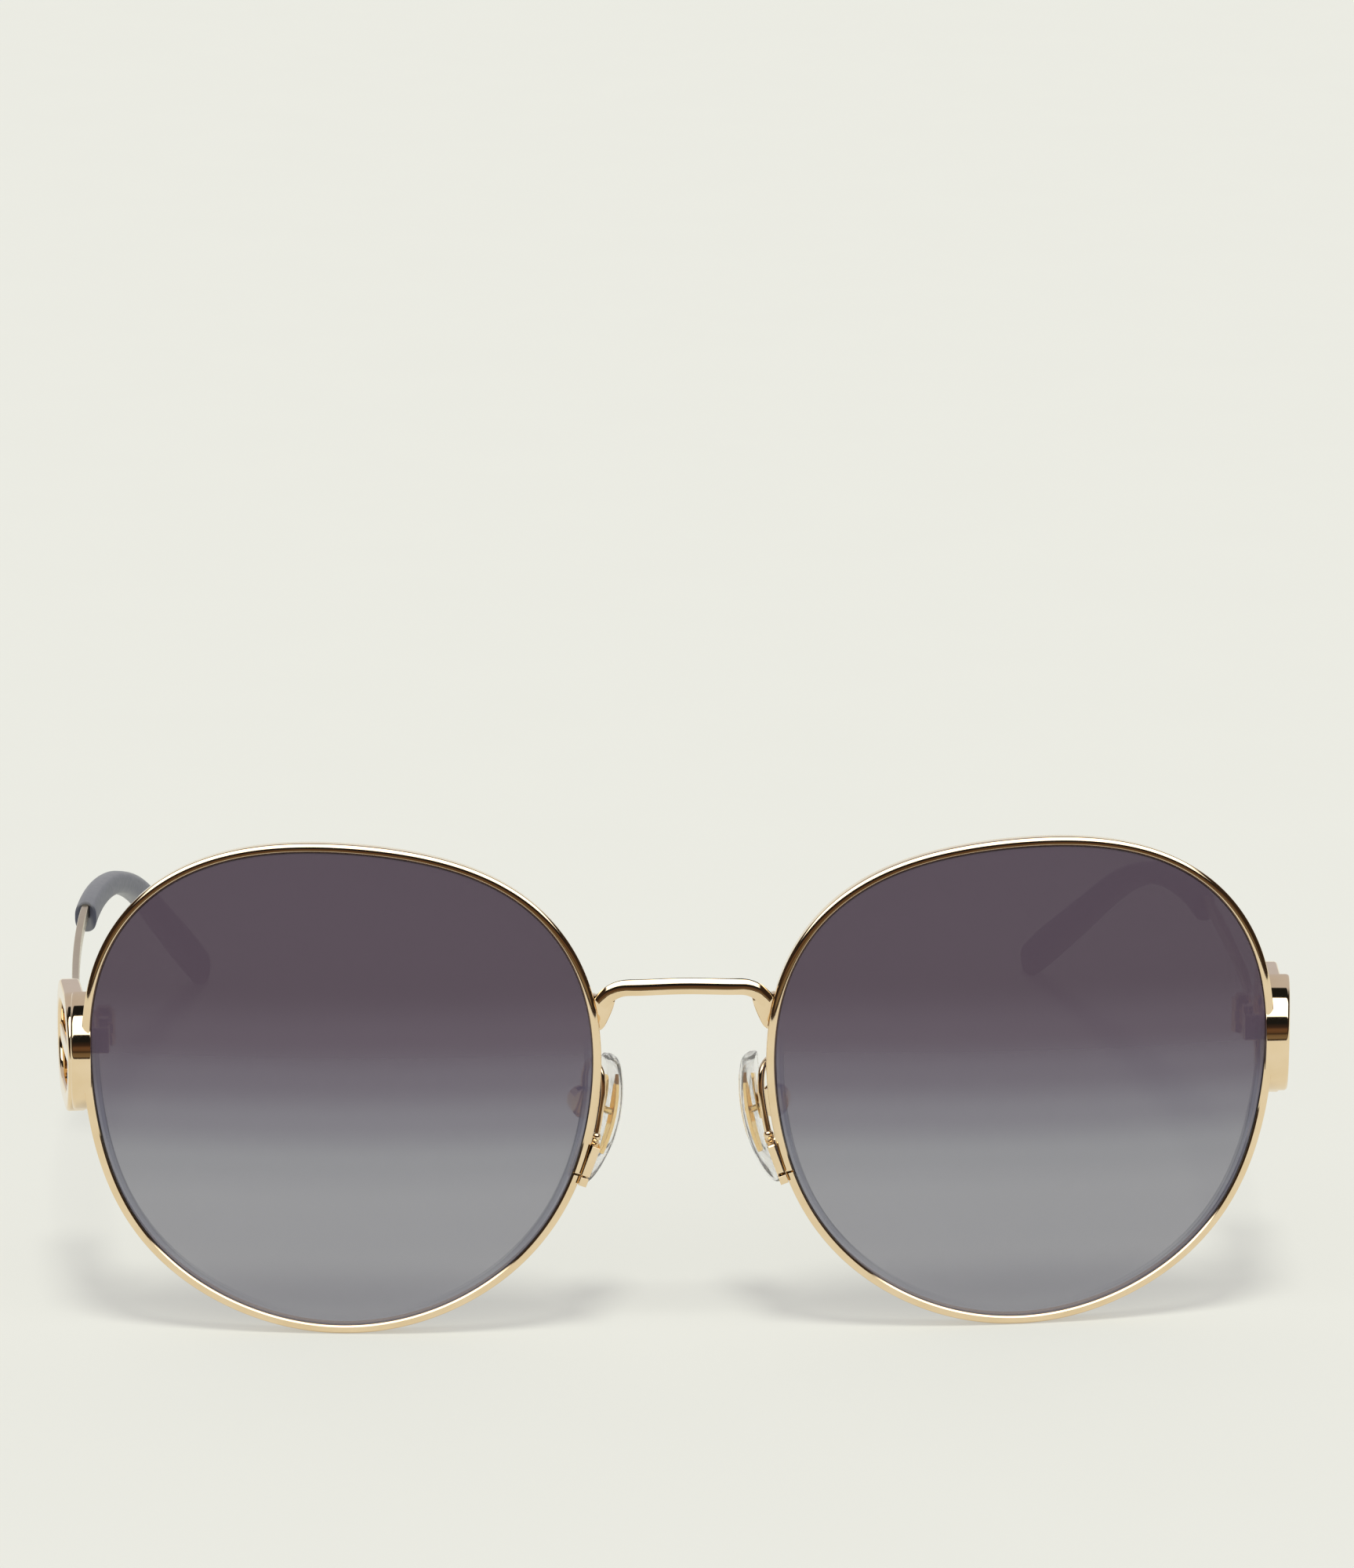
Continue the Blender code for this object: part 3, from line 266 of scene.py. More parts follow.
# %% Ramps, ranges and mixes
# The Mix node's colour sockets go by number, because its other sockets share their names.
MIX_SHARE, MIX_COLOURS, MIX_RESULT = 0, (6, 7), 2


def add_ramp(nodes, links, source, stops, interpolation="LINEAR"):
    """A colour ramp with stops (place, colour or level) read from a 0 to 1 value."""
    ramp = nodes.new("ShaderNodeValToRGB")
    ramp.color_ramp.interpolation = interpolation
    elements = ramp.color_ramp.elements
    while len(elements) > 1:
        elements.remove(elements[-1])
    elements[0].position = stops[0][0]
    for i, (position, colour) in enumerate(stops):
        element = elements.new(position) if i else elements[0]
        element.color = (*(colour if isinstance(colour, tuple) else (colour,) * 3), 1)
    links.new(source, ramp.inputs["Fac"])
    return ramp.outputs["Color"]


def add_range(nodes, links, source, low, high, first=0.0, last=1.0):
    """Carries a value between first and last over to between low and high."""
    spread = nodes.new("ShaderNodeMapRange")
    set_inputs(spread, {"From Min": first, "From Max": last, "To Min": low, "To Max": high})
    links.new(source, spread.inputs["Value"])
    return spread.outputs["Result"]


def add_math(nodes, links, operation, *values, clamp=False):
    """A Math node over outputs and plain numbers."""
    node = nodes.new("ShaderNodeMath")
    node.operation, node.use_clamp = operation, clamp
    for socket, value in zip(node.inputs, values):
        if isinstance(value, (int, float)):
            socket.default_value = value
        else:
            links.new(value, socket)
    return node.outputs[0]


def add_mix(nodes, links, share, *colours):
    """Two colours mixed by a share from 0 to 1; each is an output or a plain colour."""
    mix = nodes.new("ShaderNodeMix")
    mix.data_type = "RGBA"
    links.new(share, mix.inputs[MIX_SHARE])
    for socket, colour in zip(MIX_COLOURS, colours):
        if isinstance(colour, tuple):
            mix.inputs[socket].default_value = (*colour, 1)
        else:
            links.new(colour, mix.inputs[socket])
    return mix.outputs[MIX_RESULT]


print("a mix takes its colours at sockets", MIX_COLOURS)

# %% Polished gold
CLOUD_SCALE, CLOUD_PLACES, MARK_SCALE, MARK_SPREAD = 260.0, (0.35, 0.7), 900.0, (0.75, 1.35)


def polished_metal(name, colour, deeper, roughness):
    material, nodes, links, shader = new_material(name)
    shader.inputs["Metallic"].default_value = 1.0
    clouds = add_noise(nodes, links, CLOUD_SCALE)
    tint = add_ramp(nodes, links, clouds, list(zip(CLOUD_PLACES, (colour, deeper))))
    links.new(tint, shader.inputs["Base Color"])
    marks = add_noise(nodes, links, MARK_SCALE, detail=4.0, stretch=(1, 1, 6))
    spread = add_range(nodes, links, marks, *(roughness * share for share in MARK_SPREAD))
    links.new(spread, shader.inputs["Roughness"])
    return material


GOLD = polished_metal("polished_gold", (0.895, 0.718, 0.488), (0.855, 0.668, 0.428), 0.05)
SCREW_GOLD = polished_metal("screw_gold", (0.80, 0.64, 0.42), (0.70, 0.54, 0.34), 0.16)
PALE_GOLD = polished_metal("bar_gold", (0.63, 0.54, 0.385), (0.59, 0.50, 0.345), 0.20)
print("metals:", GOLD.name, SCREW_GOLD.name, PALE_GOLD.name)

# %% [markdown]
# ## The rims
# A rim is drawn wire with a groove on its inner side for the lens, bent round a mandrel and
# open at one place, where two blocks and a screw close it. The outline isn't a circle: it is
# one smooth curve through twelve measured radii. The wire leans with the curve of the lens, so
# its flat front looks a little up at the top and down at the bottom, and that alone turns the
# reflection in it from dark to pale round the rim.
# %% Lens outline and surface
LENS_RADIUS, LENS_CURVE_RADIUS, FACE_FORM = 29.2 * MM, 140 * MM, radians(3.9)
OUTLINE_SHARES = (0.984, 1.055, 1.018, 0.940, 0.984, 1.042,
                  1.001, 0.998, 1.002, 1.000, 0.996, 0.988)
LENS_CENTRE = 21.66 * MM / 2 + LENS_RADIUS * OUTLINE_SHARES[6]


def outline_radius(angle):
    """The rim's inner edge, from the outer side over the top to the nose."""
    count, total = len(OUTLINE_SHARES), 0.0
    for i, share in enumerate(OUTLINE_SHARES):
        turn = angle - 2 * pi * i / count
        if abs(sin(turn / 2)) < 1e-9:
            return LENS_RADIUS * share
        total += share * sin(count * turn / 2) / (count * tan(turn / 2))
    return LENS_RADIUS * total


def on_lens(side, radius, angle, depth=0.0):
    """A point of the front, from polar places about a lens centre."""
    across, up = radius * cos(angle), radius * sin(angle)
    sag = (across**2 + up**2) / (2 * LENS_CURVE_RADIUS)
    return Vector((side * (LENS_CENTRE + across), across * tan(FACE_FORM) + sag + depth, up))


print("lens centres are", round(2 * LENS_CENTRE / MM, 1), "mm apart")

# %% Rims
RIM_WIDTH, RIM_DEPTH, RIM_STEPS, RIM_LOOK_AHEAD = 1.0 * MM, 2.0 * MM, 360, 0.002
SPLIT_ANGLE, SPLIT_GAP = radians(201.3), 0.25 * MM
# The share of the lens's own slope that the wire follows.
RIM_LEAN = 0.39
# The wire's section, outwards and back, with corner radii: a small flat inside, a crowned face
# that turns away to the outside, the back, and the groove.
RIM_FLAT, CROWN_RADIUS, CROWN_TURNS = (-0.31, -1.0), 1.28, np.radians(np.linspace(2, 40, 14))
RIM_INSIDE = [(-0.50, -0.80, 0.03), (*RIM_FLAT, 0.03)]
RIM_BACK = [(0.56, -0.62, 0.04), (0.57, 1.00, 0.05), (-0.38, 1.00, 0.06)]
RIM_GROOVE = [(-0.38, 0.82, 0), (-0.34, 0.76, 0), (-0.34, -0.55, 0), (-0.50, -0.70, 0)]
RIM_FACE = [(RIM_FLAT[0] + CROWN_RADIUS * sin(turn),
             RIM_FLAT[1] + CROWN_RADIUS * (1 - cos(turn)), 0) for turn in CROWN_TURNS]
RIM_SECTION = rounded(RIM_INSIDE + RIM_FACE + RIM_BACK + RIM_GROOVE, 4)


def rim_frame(side, angle):
    """The wire's middle at an angle, with its outward direction and its depth direction."""
    radius = outline_radius(angle) + RIM_WIDTH / 2
    place = on_lens(side, radius, angle)
    next_angle = angle + RIM_LOOK_AHEAD
    ahead = on_lens(side, outline_radius(next_angle) + RIM_WIDTH / 2, next_angle)
    along = (ahead - place).normalized()
    across, up = radius * cos(angle), radius * sin(angle)
    slope = side * (tan(FACE_FORM) + across / LENS_CURVE_RADIUS)
    depth = Vector((-slope * RIM_LEAN, 1, -up / LENS_CURVE_RADIUS * RIM_LEAN))
    depth = square_to(along, depth)
    outward = along.cross(depth)
    if outward.dot(place - on_lens(side, 0, 0)) < 0:
        outward.negate()
    return place, outward, depth


for label, side in SIDES.items():
    bm = bmesh.new()
    opening = SPLIT_GAP / (LENS_RADIUS + RIM_WIDTH / 2)
    rings = []
    for step in range(RIM_STEPS + 1):
        angle = SPLIT_ANGLE + opening / 2 + (2 * pi - opening) * step / RIM_STEPS
        place, outward, depth = rim_frame(side, angle)
        rings.append([place + outward * u + depth * d for u, d in RIM_SECTION])
    skin(bm, rings)
    rim = add_piece(f"rim_wire_{label}", bm, STAND, GOLD, "front", f"rim_{label}")
    print(rim.name, "faces", len(rim.data.polygons))

# %% [markdown]
# ## The lenses
# Each lens is a curved, tinted sheet with a bevelled edge that sits in the rim's groove. The
# tint is a dye bath that the lens is drawn out of slowly, so the colour fades from top to
# bottom; its lowest part is also painted lighter, as painted light that offsets the floor's
# shadow seen through the lens. A polar grid keeps the edge exact, and two numbers are stored at
# each point of it: how high it is on the lens, for the fading tint, and how far it is from the
# edge, for a painted pale band and dark lines that stand in for the light the bevel lets
# through and the shade at the rim.
# %% Graded tint
LENS_TINT_AND_PAINTED_LIGHT_ROWS = (
    # height on the lens in mm, opacity of one surface, colour
    # The two lowest rows are painted lighter, as painted light that offsets the floor's shadow seen
    # through the lens; the rest is the dye.
    (-28, 0.44, (0.190, 0.190, 0.235)),
    (-23, 0.44, (0.145, 0.145, 0.195)),
    (-18, 0.44, (0.113, 0.113, 0.166)),
    (-14, 0.44, (0.108, 0.108, 0.160)),
    (-9, 0.487, (0.117, 0.117, 0.166)),
    (-4, 0.60, (0.127, 0.114, 0.162)),
    (1, 0.70, (0.120, 0.097, 0.139)),
    (6, 0.79, (0.112, 0.083, 0.116)),
    (12, 0.85, (0.101, 0.074, 0.100)),
    (28, 0.86, (0.102, 0.0755, 0.102)),
)
LENS_REACH = 30.0
# Two millimetres in from the metal, as 0 to 1, all painted: a dark line of painted shade at the
# rim, a pale band of painted light where the bevel shows the floor, turning bluish, and a fine
# dark line of painted shade where the bevel meets the flat of the lens.
PAINTED_EDGE_SHADE, PAINTED_BEVEL_LIGHT = (0.020, 0.020, 0.026), (0.26, 0.265, 0.32)
PAINTED_BLUE_BEVEL_LIGHT, PAINTED_FINE_SHADE_LINE = (0.130, 0.138, 0.190), (0.075, 0.078, 0.10)
PAINTED_EDGE_COLOURS = [(0.0, PAINTED_EDGE_SHADE), (0.04, PAINTED_EDGE_SHADE), (0.055, PAINTED_BEVEL_LIGHT), (0.17, PAINTED_BEVEL_LIGHT),
                (0.22, PAINTED_BLUE_BEVEL_LIGHT), (0.33, PAINTED_BLUE_BEVEL_LIGHT), (0.345, PAINTED_FINE_SHADE_LINE), (0.385, PAINTED_FINE_SHADE_LINE),
                (0.40, PAINTED_BLUE_BEVEL_LIGHT)]
PAINTED_EDGE_LEVELS = [(0.0, 0.9), (0.045, 0.9), (0.065, 0.5), (0.33, 0.5), (0.345, 0.6), (0.385, 0.6),
               (0.40, 0.0)]
# The painted bevel light shows where the pale floor is behind the lens, from the lens's middle
# down, until the rim's front hides it at the very bottom.
PAINTED_BEVEL_HEIGHTS = [(0.03, 0.12), (0.10, 0.35), (0.19, 1.0), (0.42, 1.0), (0.60, 0.0)]
# Where the painted bevel light shows, the lens is also made more opaque, so its painted colour
# shows.
PAINTED_BEVEL_OPACITY = 0.30


def graded_tint():
    material, nodes, links, shader = new_material("graded_lens")
    set_inputs(shader, {"Roughness": 0.03, "IOR": 1.5, "Specular IOR Level": 0.0})
    height, edge = add_attribute(nodes, "lens_height"), add_attribute(nodes, "edge_distance")
    rows = [((row[0] + LENS_REACH) / (2 * LENS_REACH), *row[1:]) for row in LENS_TINT_AND_PAINTED_LIGHT_ROWS]
    colour = add_ramp(nodes, links, height, [(at, tint) for at, _, tint in rows], "EASE")
    opacity = add_ramp(nodes, links, height, [(at, level) for at, level, _ in rows], "EASE")
    # The edge band's colours are painted light and painted shade, mixed in where the height mask
    # shows them.
    painted_bevel = add_ramp(nodes, links, edge, PAINTED_EDGE_COLOURS)
    painted_bevel_mask = add_math(nodes, links, "MULTIPLY", add_ramp(nodes, links, edge, PAINTED_EDGE_LEVELS),
                    add_ramp(nodes, links, height, PAINTED_BEVEL_HEIGHTS))
    painted_bevel_alpha = add_math(nodes, links, "MULTIPLY_ADD", painted_bevel_mask, PAINTED_BEVEL_OPACITY, opacity, clamp=True)
    links.new(add_mix(nodes, links, painted_bevel_mask, colour, painted_bevel), shader.inputs["Base Color"])
    links.new(painted_bevel_alpha, shader.inputs["Alpha"])
    return material


LENS = graded_tint()
print("tint rows:", len(LENS_TINT_AND_PAINTED_LIGHT_ROWS))

# %% Lens meshes
LENS_THICKNESS, LENS_SEAT, LENS_BEVEL = mm(1.6, 0.15, 0.72)
LENS_STEPS, LENS_RINGS, LENS_MIDDLE = 240, 14, 28 * MM
BEVEL_START, BEVEL_TIP, BEVEL_INSET = mm(0.40, 0.30, 0.02)
# The innermost ring's share of the full radius: the middle closes with a tiny face.
LENS_CORE = 0.02


def lens_rings():
    """Each ring's distance in from the groove's floor and its depth, from front to back."""
    half, flat = LENS_THICKNESS / 2, LENS_SEAT + LENS_BEVEL
    insets = [flat + share / LENS_RINGS * LENS_MIDDLE for share in range(LENS_RINGS, 0, -1)]
    edge = [(LENS_SEAT + BEVEL_START, -half), (LENS_SEAT + BEVEL_INSET, -half),
            (BEVEL_INSET, -BEVEL_TIP), (BEVEL_INSET, BEVEL_TIP),
            (LENS_SEAT + LENS_BEVEL * 0.5, LENS_THICKNESS * 0.35), (flat, half)]
    return [(inset, -half) for inset in insets] + edge + [(inset, half) for inset in insets[::-1]]


for label, side in SIDES.items():
    bm = bmesh.new()
    height = bm.verts.layers.float.new("lens_height")
    edge = bm.verts.layers.float.new("edge_distance")
    rings = []
    for inset, depth in lens_rings():
        ring = []
        for step in range(LENS_STEPS):
            angle = 2 * pi * step / LENS_STEPS
            full = outline_radius(angle) + LENS_SEAT
            ring.append(on_lens(side, max(full - inset, LENS_CORE * full), angle, depth))
        rings.append(ring)
    for row, (inset, _) in zip(skin(bm, rings), lens_rings()):
        for vertex in row:
            vertex[height] = (vertex.co.z / MM + LENS_REACH) / (2 * LENS_REACH)
            vertex[edge] = min(max(inset - LENS_SEAT, 0.0) / MM / 2, 1.0)
    lens = add_piece(f"tinted_lens_{label}", bm, STAND, LENS, "front", f"lens_{label}", slot="lens")
    print(lens.name, "faces", len(lens.data.polygons))

# %% [markdown]
# ## The bridge
# One arched bar joins the rims, with a foot down each rim that spreads the solder joint. Seen
# from the front its face is gently round from top to bottom, which is what stacks the pale,
# white, dark and tan bands along it. The section is an arc in front and flat behind, carried
# along the same route as the CAD's bar.
# %% Bridge bar
BRIDGE_RISE, BRIDGE_FORWARD, BRIDGE_END_DROP = mm(11.7, 0.9, 2.1)
BRIDGE_HEIGHT, SOLDER_GAP = mm(1.6, 0.12)
# How far each bend of the bar has come: inwards, forwards, and still down.
BRIDGE_BENDS = ((0, 0, 1), (0.38, 0.15, 0.68), (0.92, 0.36, 0.34), (1.7, 0.62, 0.12))
# The section's height and depth in millimetres: the arc of the face, then its top and rear.
FACE_RADIUS, FACE_MIDDLE, FACE_BACK, FACE_TURNS = 1.75, -0.30, 0.72, range(-16, 51, 3)
BRIDGE_TOP = ((0.98, -0.20), (0.90, 0.3), (0.72, 0.95))
BRIDGE_REAR = ((0.4, 1.0), (-0.45, 1.0), (-0.68, 0.8), (-0.82, 0.0))


def bridge_section():
    face = [(FACE_RADIUS * sin(turn) + FACE_MIDDLE, -FACE_RADIUS * cos(turn) + FACE_BACK)
            for turn in map(radians, FACE_TURNS)]
    return [(high * MM, deep * MM) for high, deep in (*face, *BRIDGE_TOP, *BRIDGE_REAR)]


def bridge_route():
    attach = asin((BRIDGE_RISE - BRIDGE_END_DROP) / (LENS_RADIUS * OUTLINE_SHARES[5]))
    radius = outline_radius(pi - attach) + RIM_WIDTH + SOLDER_GAP
    edge = on_lens(1, radius, pi - attach)
    end, front = edge.x - BRIDGE_HEIGHT * 0.45, edge.y - BRIDGE_FORWARD
    half = [(end - BRIDGE_HEIGHT * inwards, edge.y - BRIDGE_FORWARD * forwards,
             BRIDGE_RISE - BRIDGE_END_DROP * down) for inwards, forwards, down in BRIDGE_BENDS]
    half += [(end / 2, front, BRIDGE_RISE - BRIDGE_END_DROP * 0.06), (0, front, BRIDGE_RISE)]
    return smooth_route(half + [(-x, y, z) for x, y, z in reversed(half[:-1])], 14), edge


route, bridge_edge = bridge_route()
bm = bmesh.new()
rings = []
for i, place in enumerate(route):
    along = direction_along(route, i)
    back = square_to(along, Vector((0, 1, 0)))
    up = back.cross(along)
    # Where the bar is nearly upright, at its ends, its top is the side away from the nose.
    up = up if up.z > 0 or (abs(up.z) < 0.2 and up.x * place.x > 0) else -up
    rings.append([place + up * high + back * deep for high, deep in bridge_section()])
skin(bm, rings)
print("bridge bar length", route_length(route), "mm")

# %% Bridge feet
FOOT_WIDTH, FOOT_ABOVE, FOOT_BELOW, FOOT_STEPS = 2.3 * MM, 0.3 * MM, 3.8 * MM, 8
# The foot's free edge, as shares of its width and height, from its top down.
FOOT_EDGE = ((1.05, 1.0), (0.97, 0.8), (0.74, 0.45), (0.44, 0.12), (0.08, 0.0))
# Its layers from front to back: size, and depth in millimetres.
FOOT_LAYERS = ((0.86, -0.36), (0.96, -0.30), (1.0, -0.18), (1.0, 1.0), (0.94, 1.2))

for side in SIDES.values():
    top = BRIDGE_RISE - BRIDGE_END_DROP + FOOT_ABOVE
    bottom = top - FOOT_BELOW
    outline = []
    for step in range(FOOT_STEPS + 1):
        height = bottom + (top - bottom) * step / FOOT_STEPS
        angle = pi - asin(height / LENS_RADIUS)
        place = on_lens(side, outline_radius(angle) + RIM_WIDTH + SOLDER_GAP * 0.5, angle)
        outline.append((place.x, place.z))
    for share in smooth_route([(across, up, 0) for across, up in FOOT_EDGE], 4):
        outline.append((side * (bridge_edge.x - FOOT_WIDTH * share.x),
                        bottom + (top - bottom) * share.y))
    middle = sum((Vector(point) for point in outline), Vector((0, 0))) / len(outline)
    rings = []
    for size, depth in FOOT_LAYERS:
        layer = [middle + (Vector(point) - middle) * size for point in outline]
        rings.append([(p.x, bridge_edge.y + depth * MM, p.y) for p in layer])
    skin(bm, rings)
bridge = add_piece("bridge_bar", bm, STAND, GOLD, "front", "bridge")
print(bridge.name, "faces", len(bridge.data.polygons))

# %% [markdown]
# ## End pieces
# Each end piece is brazed to the rim's outer side: a flange with a leg that carries the hinge,
# and a rounded lobe that comes out in front of the rim. The lobe is part of a cylinder with
# the radius of the oval link behind it, so the two share one run of reflections. Its tip
# reaches back over the nose of the link, a little clear of it, and its edge is rounded more on
# the outside, where a hand touches it.
# %% Flanges and legs
LUG_RISE, LUG_HALF_HEIGHT, LUG_ROUND = mm(4.4, 1.55, 0.22)
FLANGE_GAP, FLANGE_REACH, FLANGE_THICKNESS = mm(0.3, 1.3, 0.95)
LEG_INSET, LEG_WIDTH, LEG_START, LEG_LENGTH = mm(0.75, 1.5, 0.2, 1.225)
LUG_TURN = asin(LUG_RISE / LENS_RADIUS)
RIM_EDGE = on_lens(1, outline_radius(LUG_TURN) + RIM_WIDTH, LUG_TURN)
LUG_FRONT = RIM_EDGE.y + RIM_DEPTH / 2 + FLANGE_GAP
LUG_INNER, LUG_BACK = HINGE_X - LEG_INSET, LUG_FRONT + FLANGE_THICKNESS + LEG_LENGTH


def block(bm, low, high, radius, steps=4):
    """A box with all its edges rounded: a rounded rectangle, inset towards both ends."""
    low, high = Vector(low) / MM, Vector(high) / MM
    r = radius / MM
    turns = [pi / 2 * k / steps for k in range(steps + 1)]
    ends = [(low.y + r - r * cos(t), r * (1 - sin(t))) for t in turns]
    ends += [(high.y - r + r * sin(t), r * (1 - cos(t))) for t in turns]
    rings = []
    for y, inset in ends:
        x0, x1, z0, z1 = low.x + inset, high.x - inset, low.z + inset, high.z - inset
        corner = max(r - inset, 0.02)
        corners = [(x, z, corner) for x, z in ((x1, z1), (x0, z1), (x0, z0), (x1, z0))]
        rings.append([(x, y * MM, z) for x, z in rounded(corners, steps)])
    skin(bm, rings)


def lug_block(bm, side, reach, front, back):
    """A block of the end piece, from its inner side out to reach."""
    x0, x1 = sorted((side * LUG_INNER, side * reach))
    low, high = LUG_RISE - LUG_HALF_HEIGHT, LUG_RISE + LUG_HALF_HEIGHT
    block(bm, (x0, front, low), (x1, back, high), LUG_ROUND)


print("legs reach", round((LUG_BACK - RIM_EDGE.y) / MM, 2), "mm behind the rim's middle")

# %% Lobes
LOBE_RADIUS, LOBE_MIDDLE, LOBE_BACK, LOBE_INNER = mm(7.1, 10.4, 7.8, 69.0)
LOBE_INNER_ROUND, LOBE_OUTER_ROUND, LOBE_TOP = 0.12 * MM, 0.40 * MM, radians(86)
# The two sides of a real pair never match. For each lobe: the height of its middle, its outer
# face, and how much that face spreads outwards towards the back.
LOBES = {"left": (3.07 * MM, 71.75 * MM, 0.14), "right": (2.49 * MM, 71.35 * MM, 0.0)}
# The lobe's back stays clear of the round nose of the link, whose middle is a little lower.
LINK_BELOW_LOBE, NOSE_CENTRE, NOSE_CLEAR = mm(1.23, 15.25, 7.45)
FRONT_STEPS, BACK_STEPS = 72, 14


def lobe_outline(rise, inset):
    """The lobe seen from the side: round the front from below, over the top, down the back."""
    radius = LOBE_RADIUS - inset
    spread = acos((LOBE_MIDDLE - LOBE_BACK) / radius)
    outline = [(LOBE_MIDDLE - radius * cos(a), rise + radius * sin(a))
               for a in np.linspace(-spread, LOBE_TOP, FRONT_STEPS + 1)]
    (tip_back, tip_top), nose_rise = outline[-1], rise - LINK_BELOW_LOBE
    for k in range(1, BACK_STEPS + 1):
        z = tip_top + (nose_rise - tip_top) * k / BACK_STEPS
        nose = NOSE_CENTRE - sqrt(max(NOSE_CLEAR**2 - (z - nose_rise) ** 2, 0.0))
        outline.append((min(tip_back, nose), z))
    return outline


for label, side in SIDES.items():
    bm = bmesh.new()
    lug_block(bm, side, RIM_EDGE.x + FLANGE_REACH, LUG_FRONT, LUG_FRONT + FLANGE_THICKNESS)
    lug_block(bm, side, LUG_INNER + LEG_WIDTH, LUG_FRONT + LEG_START, LUG_BACK)
    rise, outer, spread = LOBES[label]
    turns = np.radians(np.linspace(0, 90, 7))
    edges = [(LOBE_INNER + LOBE_INNER_ROUND * (1 - sin(a)),
              LOBE_INNER_ROUND * (1 - cos(a))) for a in turns[::-1]]
    edges += [(outer - LOBE_OUTER_ROUND * (1 - sin(a)),
               LOBE_OUTER_ROUND * (1 - cos(a))) for a in turns]
    rings = []
    for x, inset in edges:
        share = spread * (x - LOBE_INNER) / (outer - LOBE_INNER)
        rings.append([(side * (x + share * (y - LOBE_MIDDLE + LOBE_RADIUS)), y, z)
                      for y, z in lobe_outline(rise, inset)])
    skin(bm, rings)
    add_piece(f"end_lug_{label}", bm, STAND, GOLD, "front", f"end_piece_{label}")
lobe_front = (RIM_EDGE.y - LOBE_MIDDLE + LOBE_RADIUS) / MM
print("lobes reach", round(lobe_front, 2), "mm in front of the rim's middle")

# %% [markdown]
# ## Oval links
# On each temple's outer side stands an oval ring with a bar across its middle, a plain
# ornament that also stiffens the hinge. Swept as a rounded bar round two half circles, its
# nose shows the whole studio as bands, so its edges are rounded finely.
# %% Oval links
LINK_HALF_HEIGHT, LINK_LENGTH, LINK_THICKNESS, LINK_BAND = mm(7.15, 20.4, 2.4, 2.4)
LINK_INNER_FACE, LINK_LEAD = mm(2.24, 5.1)
LINK_ROUND, LINK_TURNS = 0.42, 60
# The bar across: half its thickness and half its height, in millimetres, and its rounding.
LINK_BAR, LINK_BAR_ROUND = (1.05, 1.0), 0.34

for label, side in SIDES.items():
    bm = bmesh.new()
    x = side * (LINK_INNER_FACE + LINK_THICKNESS / 2)
    middle_y = -LINK_LEAD + LINK_LENGTH / 2
    middle_z = LOBES[label][0] - LINK_BELOW_LOBE - HINGE_RISE
    radius = LINK_HALF_HEIGHT - LINK_BAND / 2
    reach = LINK_LENGTH / 2 - LINK_HALF_HEIGHT
    section = rounded_box(LINK_BAND / 2 / MM, LINK_THICKNESS / 2 / MM, LINK_ROUND, 7)
    rings = []
    for centre, first in ((reach, -90), (-reach, 90)):
        for k in range(LINK_TURNS + 1):
            turn = radians(first + 180 / LINK_TURNS * k)
            out = Vector((0, cos(turn), sin(turn)))
            place = Vector((x, middle_y + centre, middle_z)) + out * radius
            rings.append([place + out * u + Vector((v, 0, 0)) for u, v in section])
    skin(bm, rings, round_trip=True)
    half_bar = LINK_LENGTH / 2 - LINK_BAND * 0.6
    section = rounded_box(*LINK_BAR, LINK_BAR_ROUND, 6)
    skin(bm, [[(x + u, middle_y + y, middle_z + v) for u, v in section]
              for y in (-half_bar, half_bar)])
    add_piece(f"oval_link_{label}", bm, temple_frame(side), GOLD, f"{label}_temple",
              f"temple_link_{label}")
print("links are", round(LINK_LENGTH / MM, 1), "mm long")

# %% [markdown]
# ## Temple bars and their sleeves
# A flat springy bar runs back from each hinge and ends deep inside a soft sleeve, which warms
# and cushions the ear. The sleeve is slid on, so its front end is a small flat face with the
# bar coming out of it. Both follow one line in space, bowed inwards and bent down at the ear,
# and both are skins of rounded sections set square to that line.
# %% Line of the temple
BAR_WIDTH, BAR_HEIGHT, TEMPLE_REACH, TEMPLE_INWARD = mm(0.9, 1.8, 124.2, 24.2)
BOW_SHARES = ((0.05, 0.0), (0.216, 0.005), (0.441, 0.136), (0.626, 0.364), (1.0, 1.0))
TIP_DROP = 22.5 * MM
SIDE_SHARES = ((0.05, -0.060), (0.125, -0.067), (0.28, -0.015), (0.44, 0.078), (0.54, 0.086),
               (0.63, 0.018), (0.72, -0.145), (0.85, -0.535), (1.0, -1.0))
LINE_STEP = 0.01


def temple_point(side, share):
    inwards = TEMPLE_INWARD * read_shares(BOW_SHARES, share)
    x = LINK_INNER_FACE - SOLDER_GAP - BAR_WIDTH / 2 - inwards
    return Vector((side * x, TEMPLE_REACH * share, TIP_DROP * read_shares(SIDE_SHARES, share)))


def temple_axes(side, share):
    """The direction across the temple at a place, and the direction up, square to its line."""
    ahead = temple_point(side, min(share + LINE_STEP, 1.0))
    behind = temple_point(side, max(share - LINE_STEP, BOW_SHARES[0][0]))
    along = (ahead - behind).normalized()
    across = along.cross(Vector((0, 0, 1))).normalized()
    return across, across.cross(along)


def temple_ring(side, share, section, sag=0.0):
    across, up = temple_axes(side, share)
    centre = temple_point(side, share) - up * sag
    return [centre + across * x + up * y for x, y in section]


print("temple ends at", [round(v, 4) for v in temple_frame(1) @ temple_point(1, 1.0)])

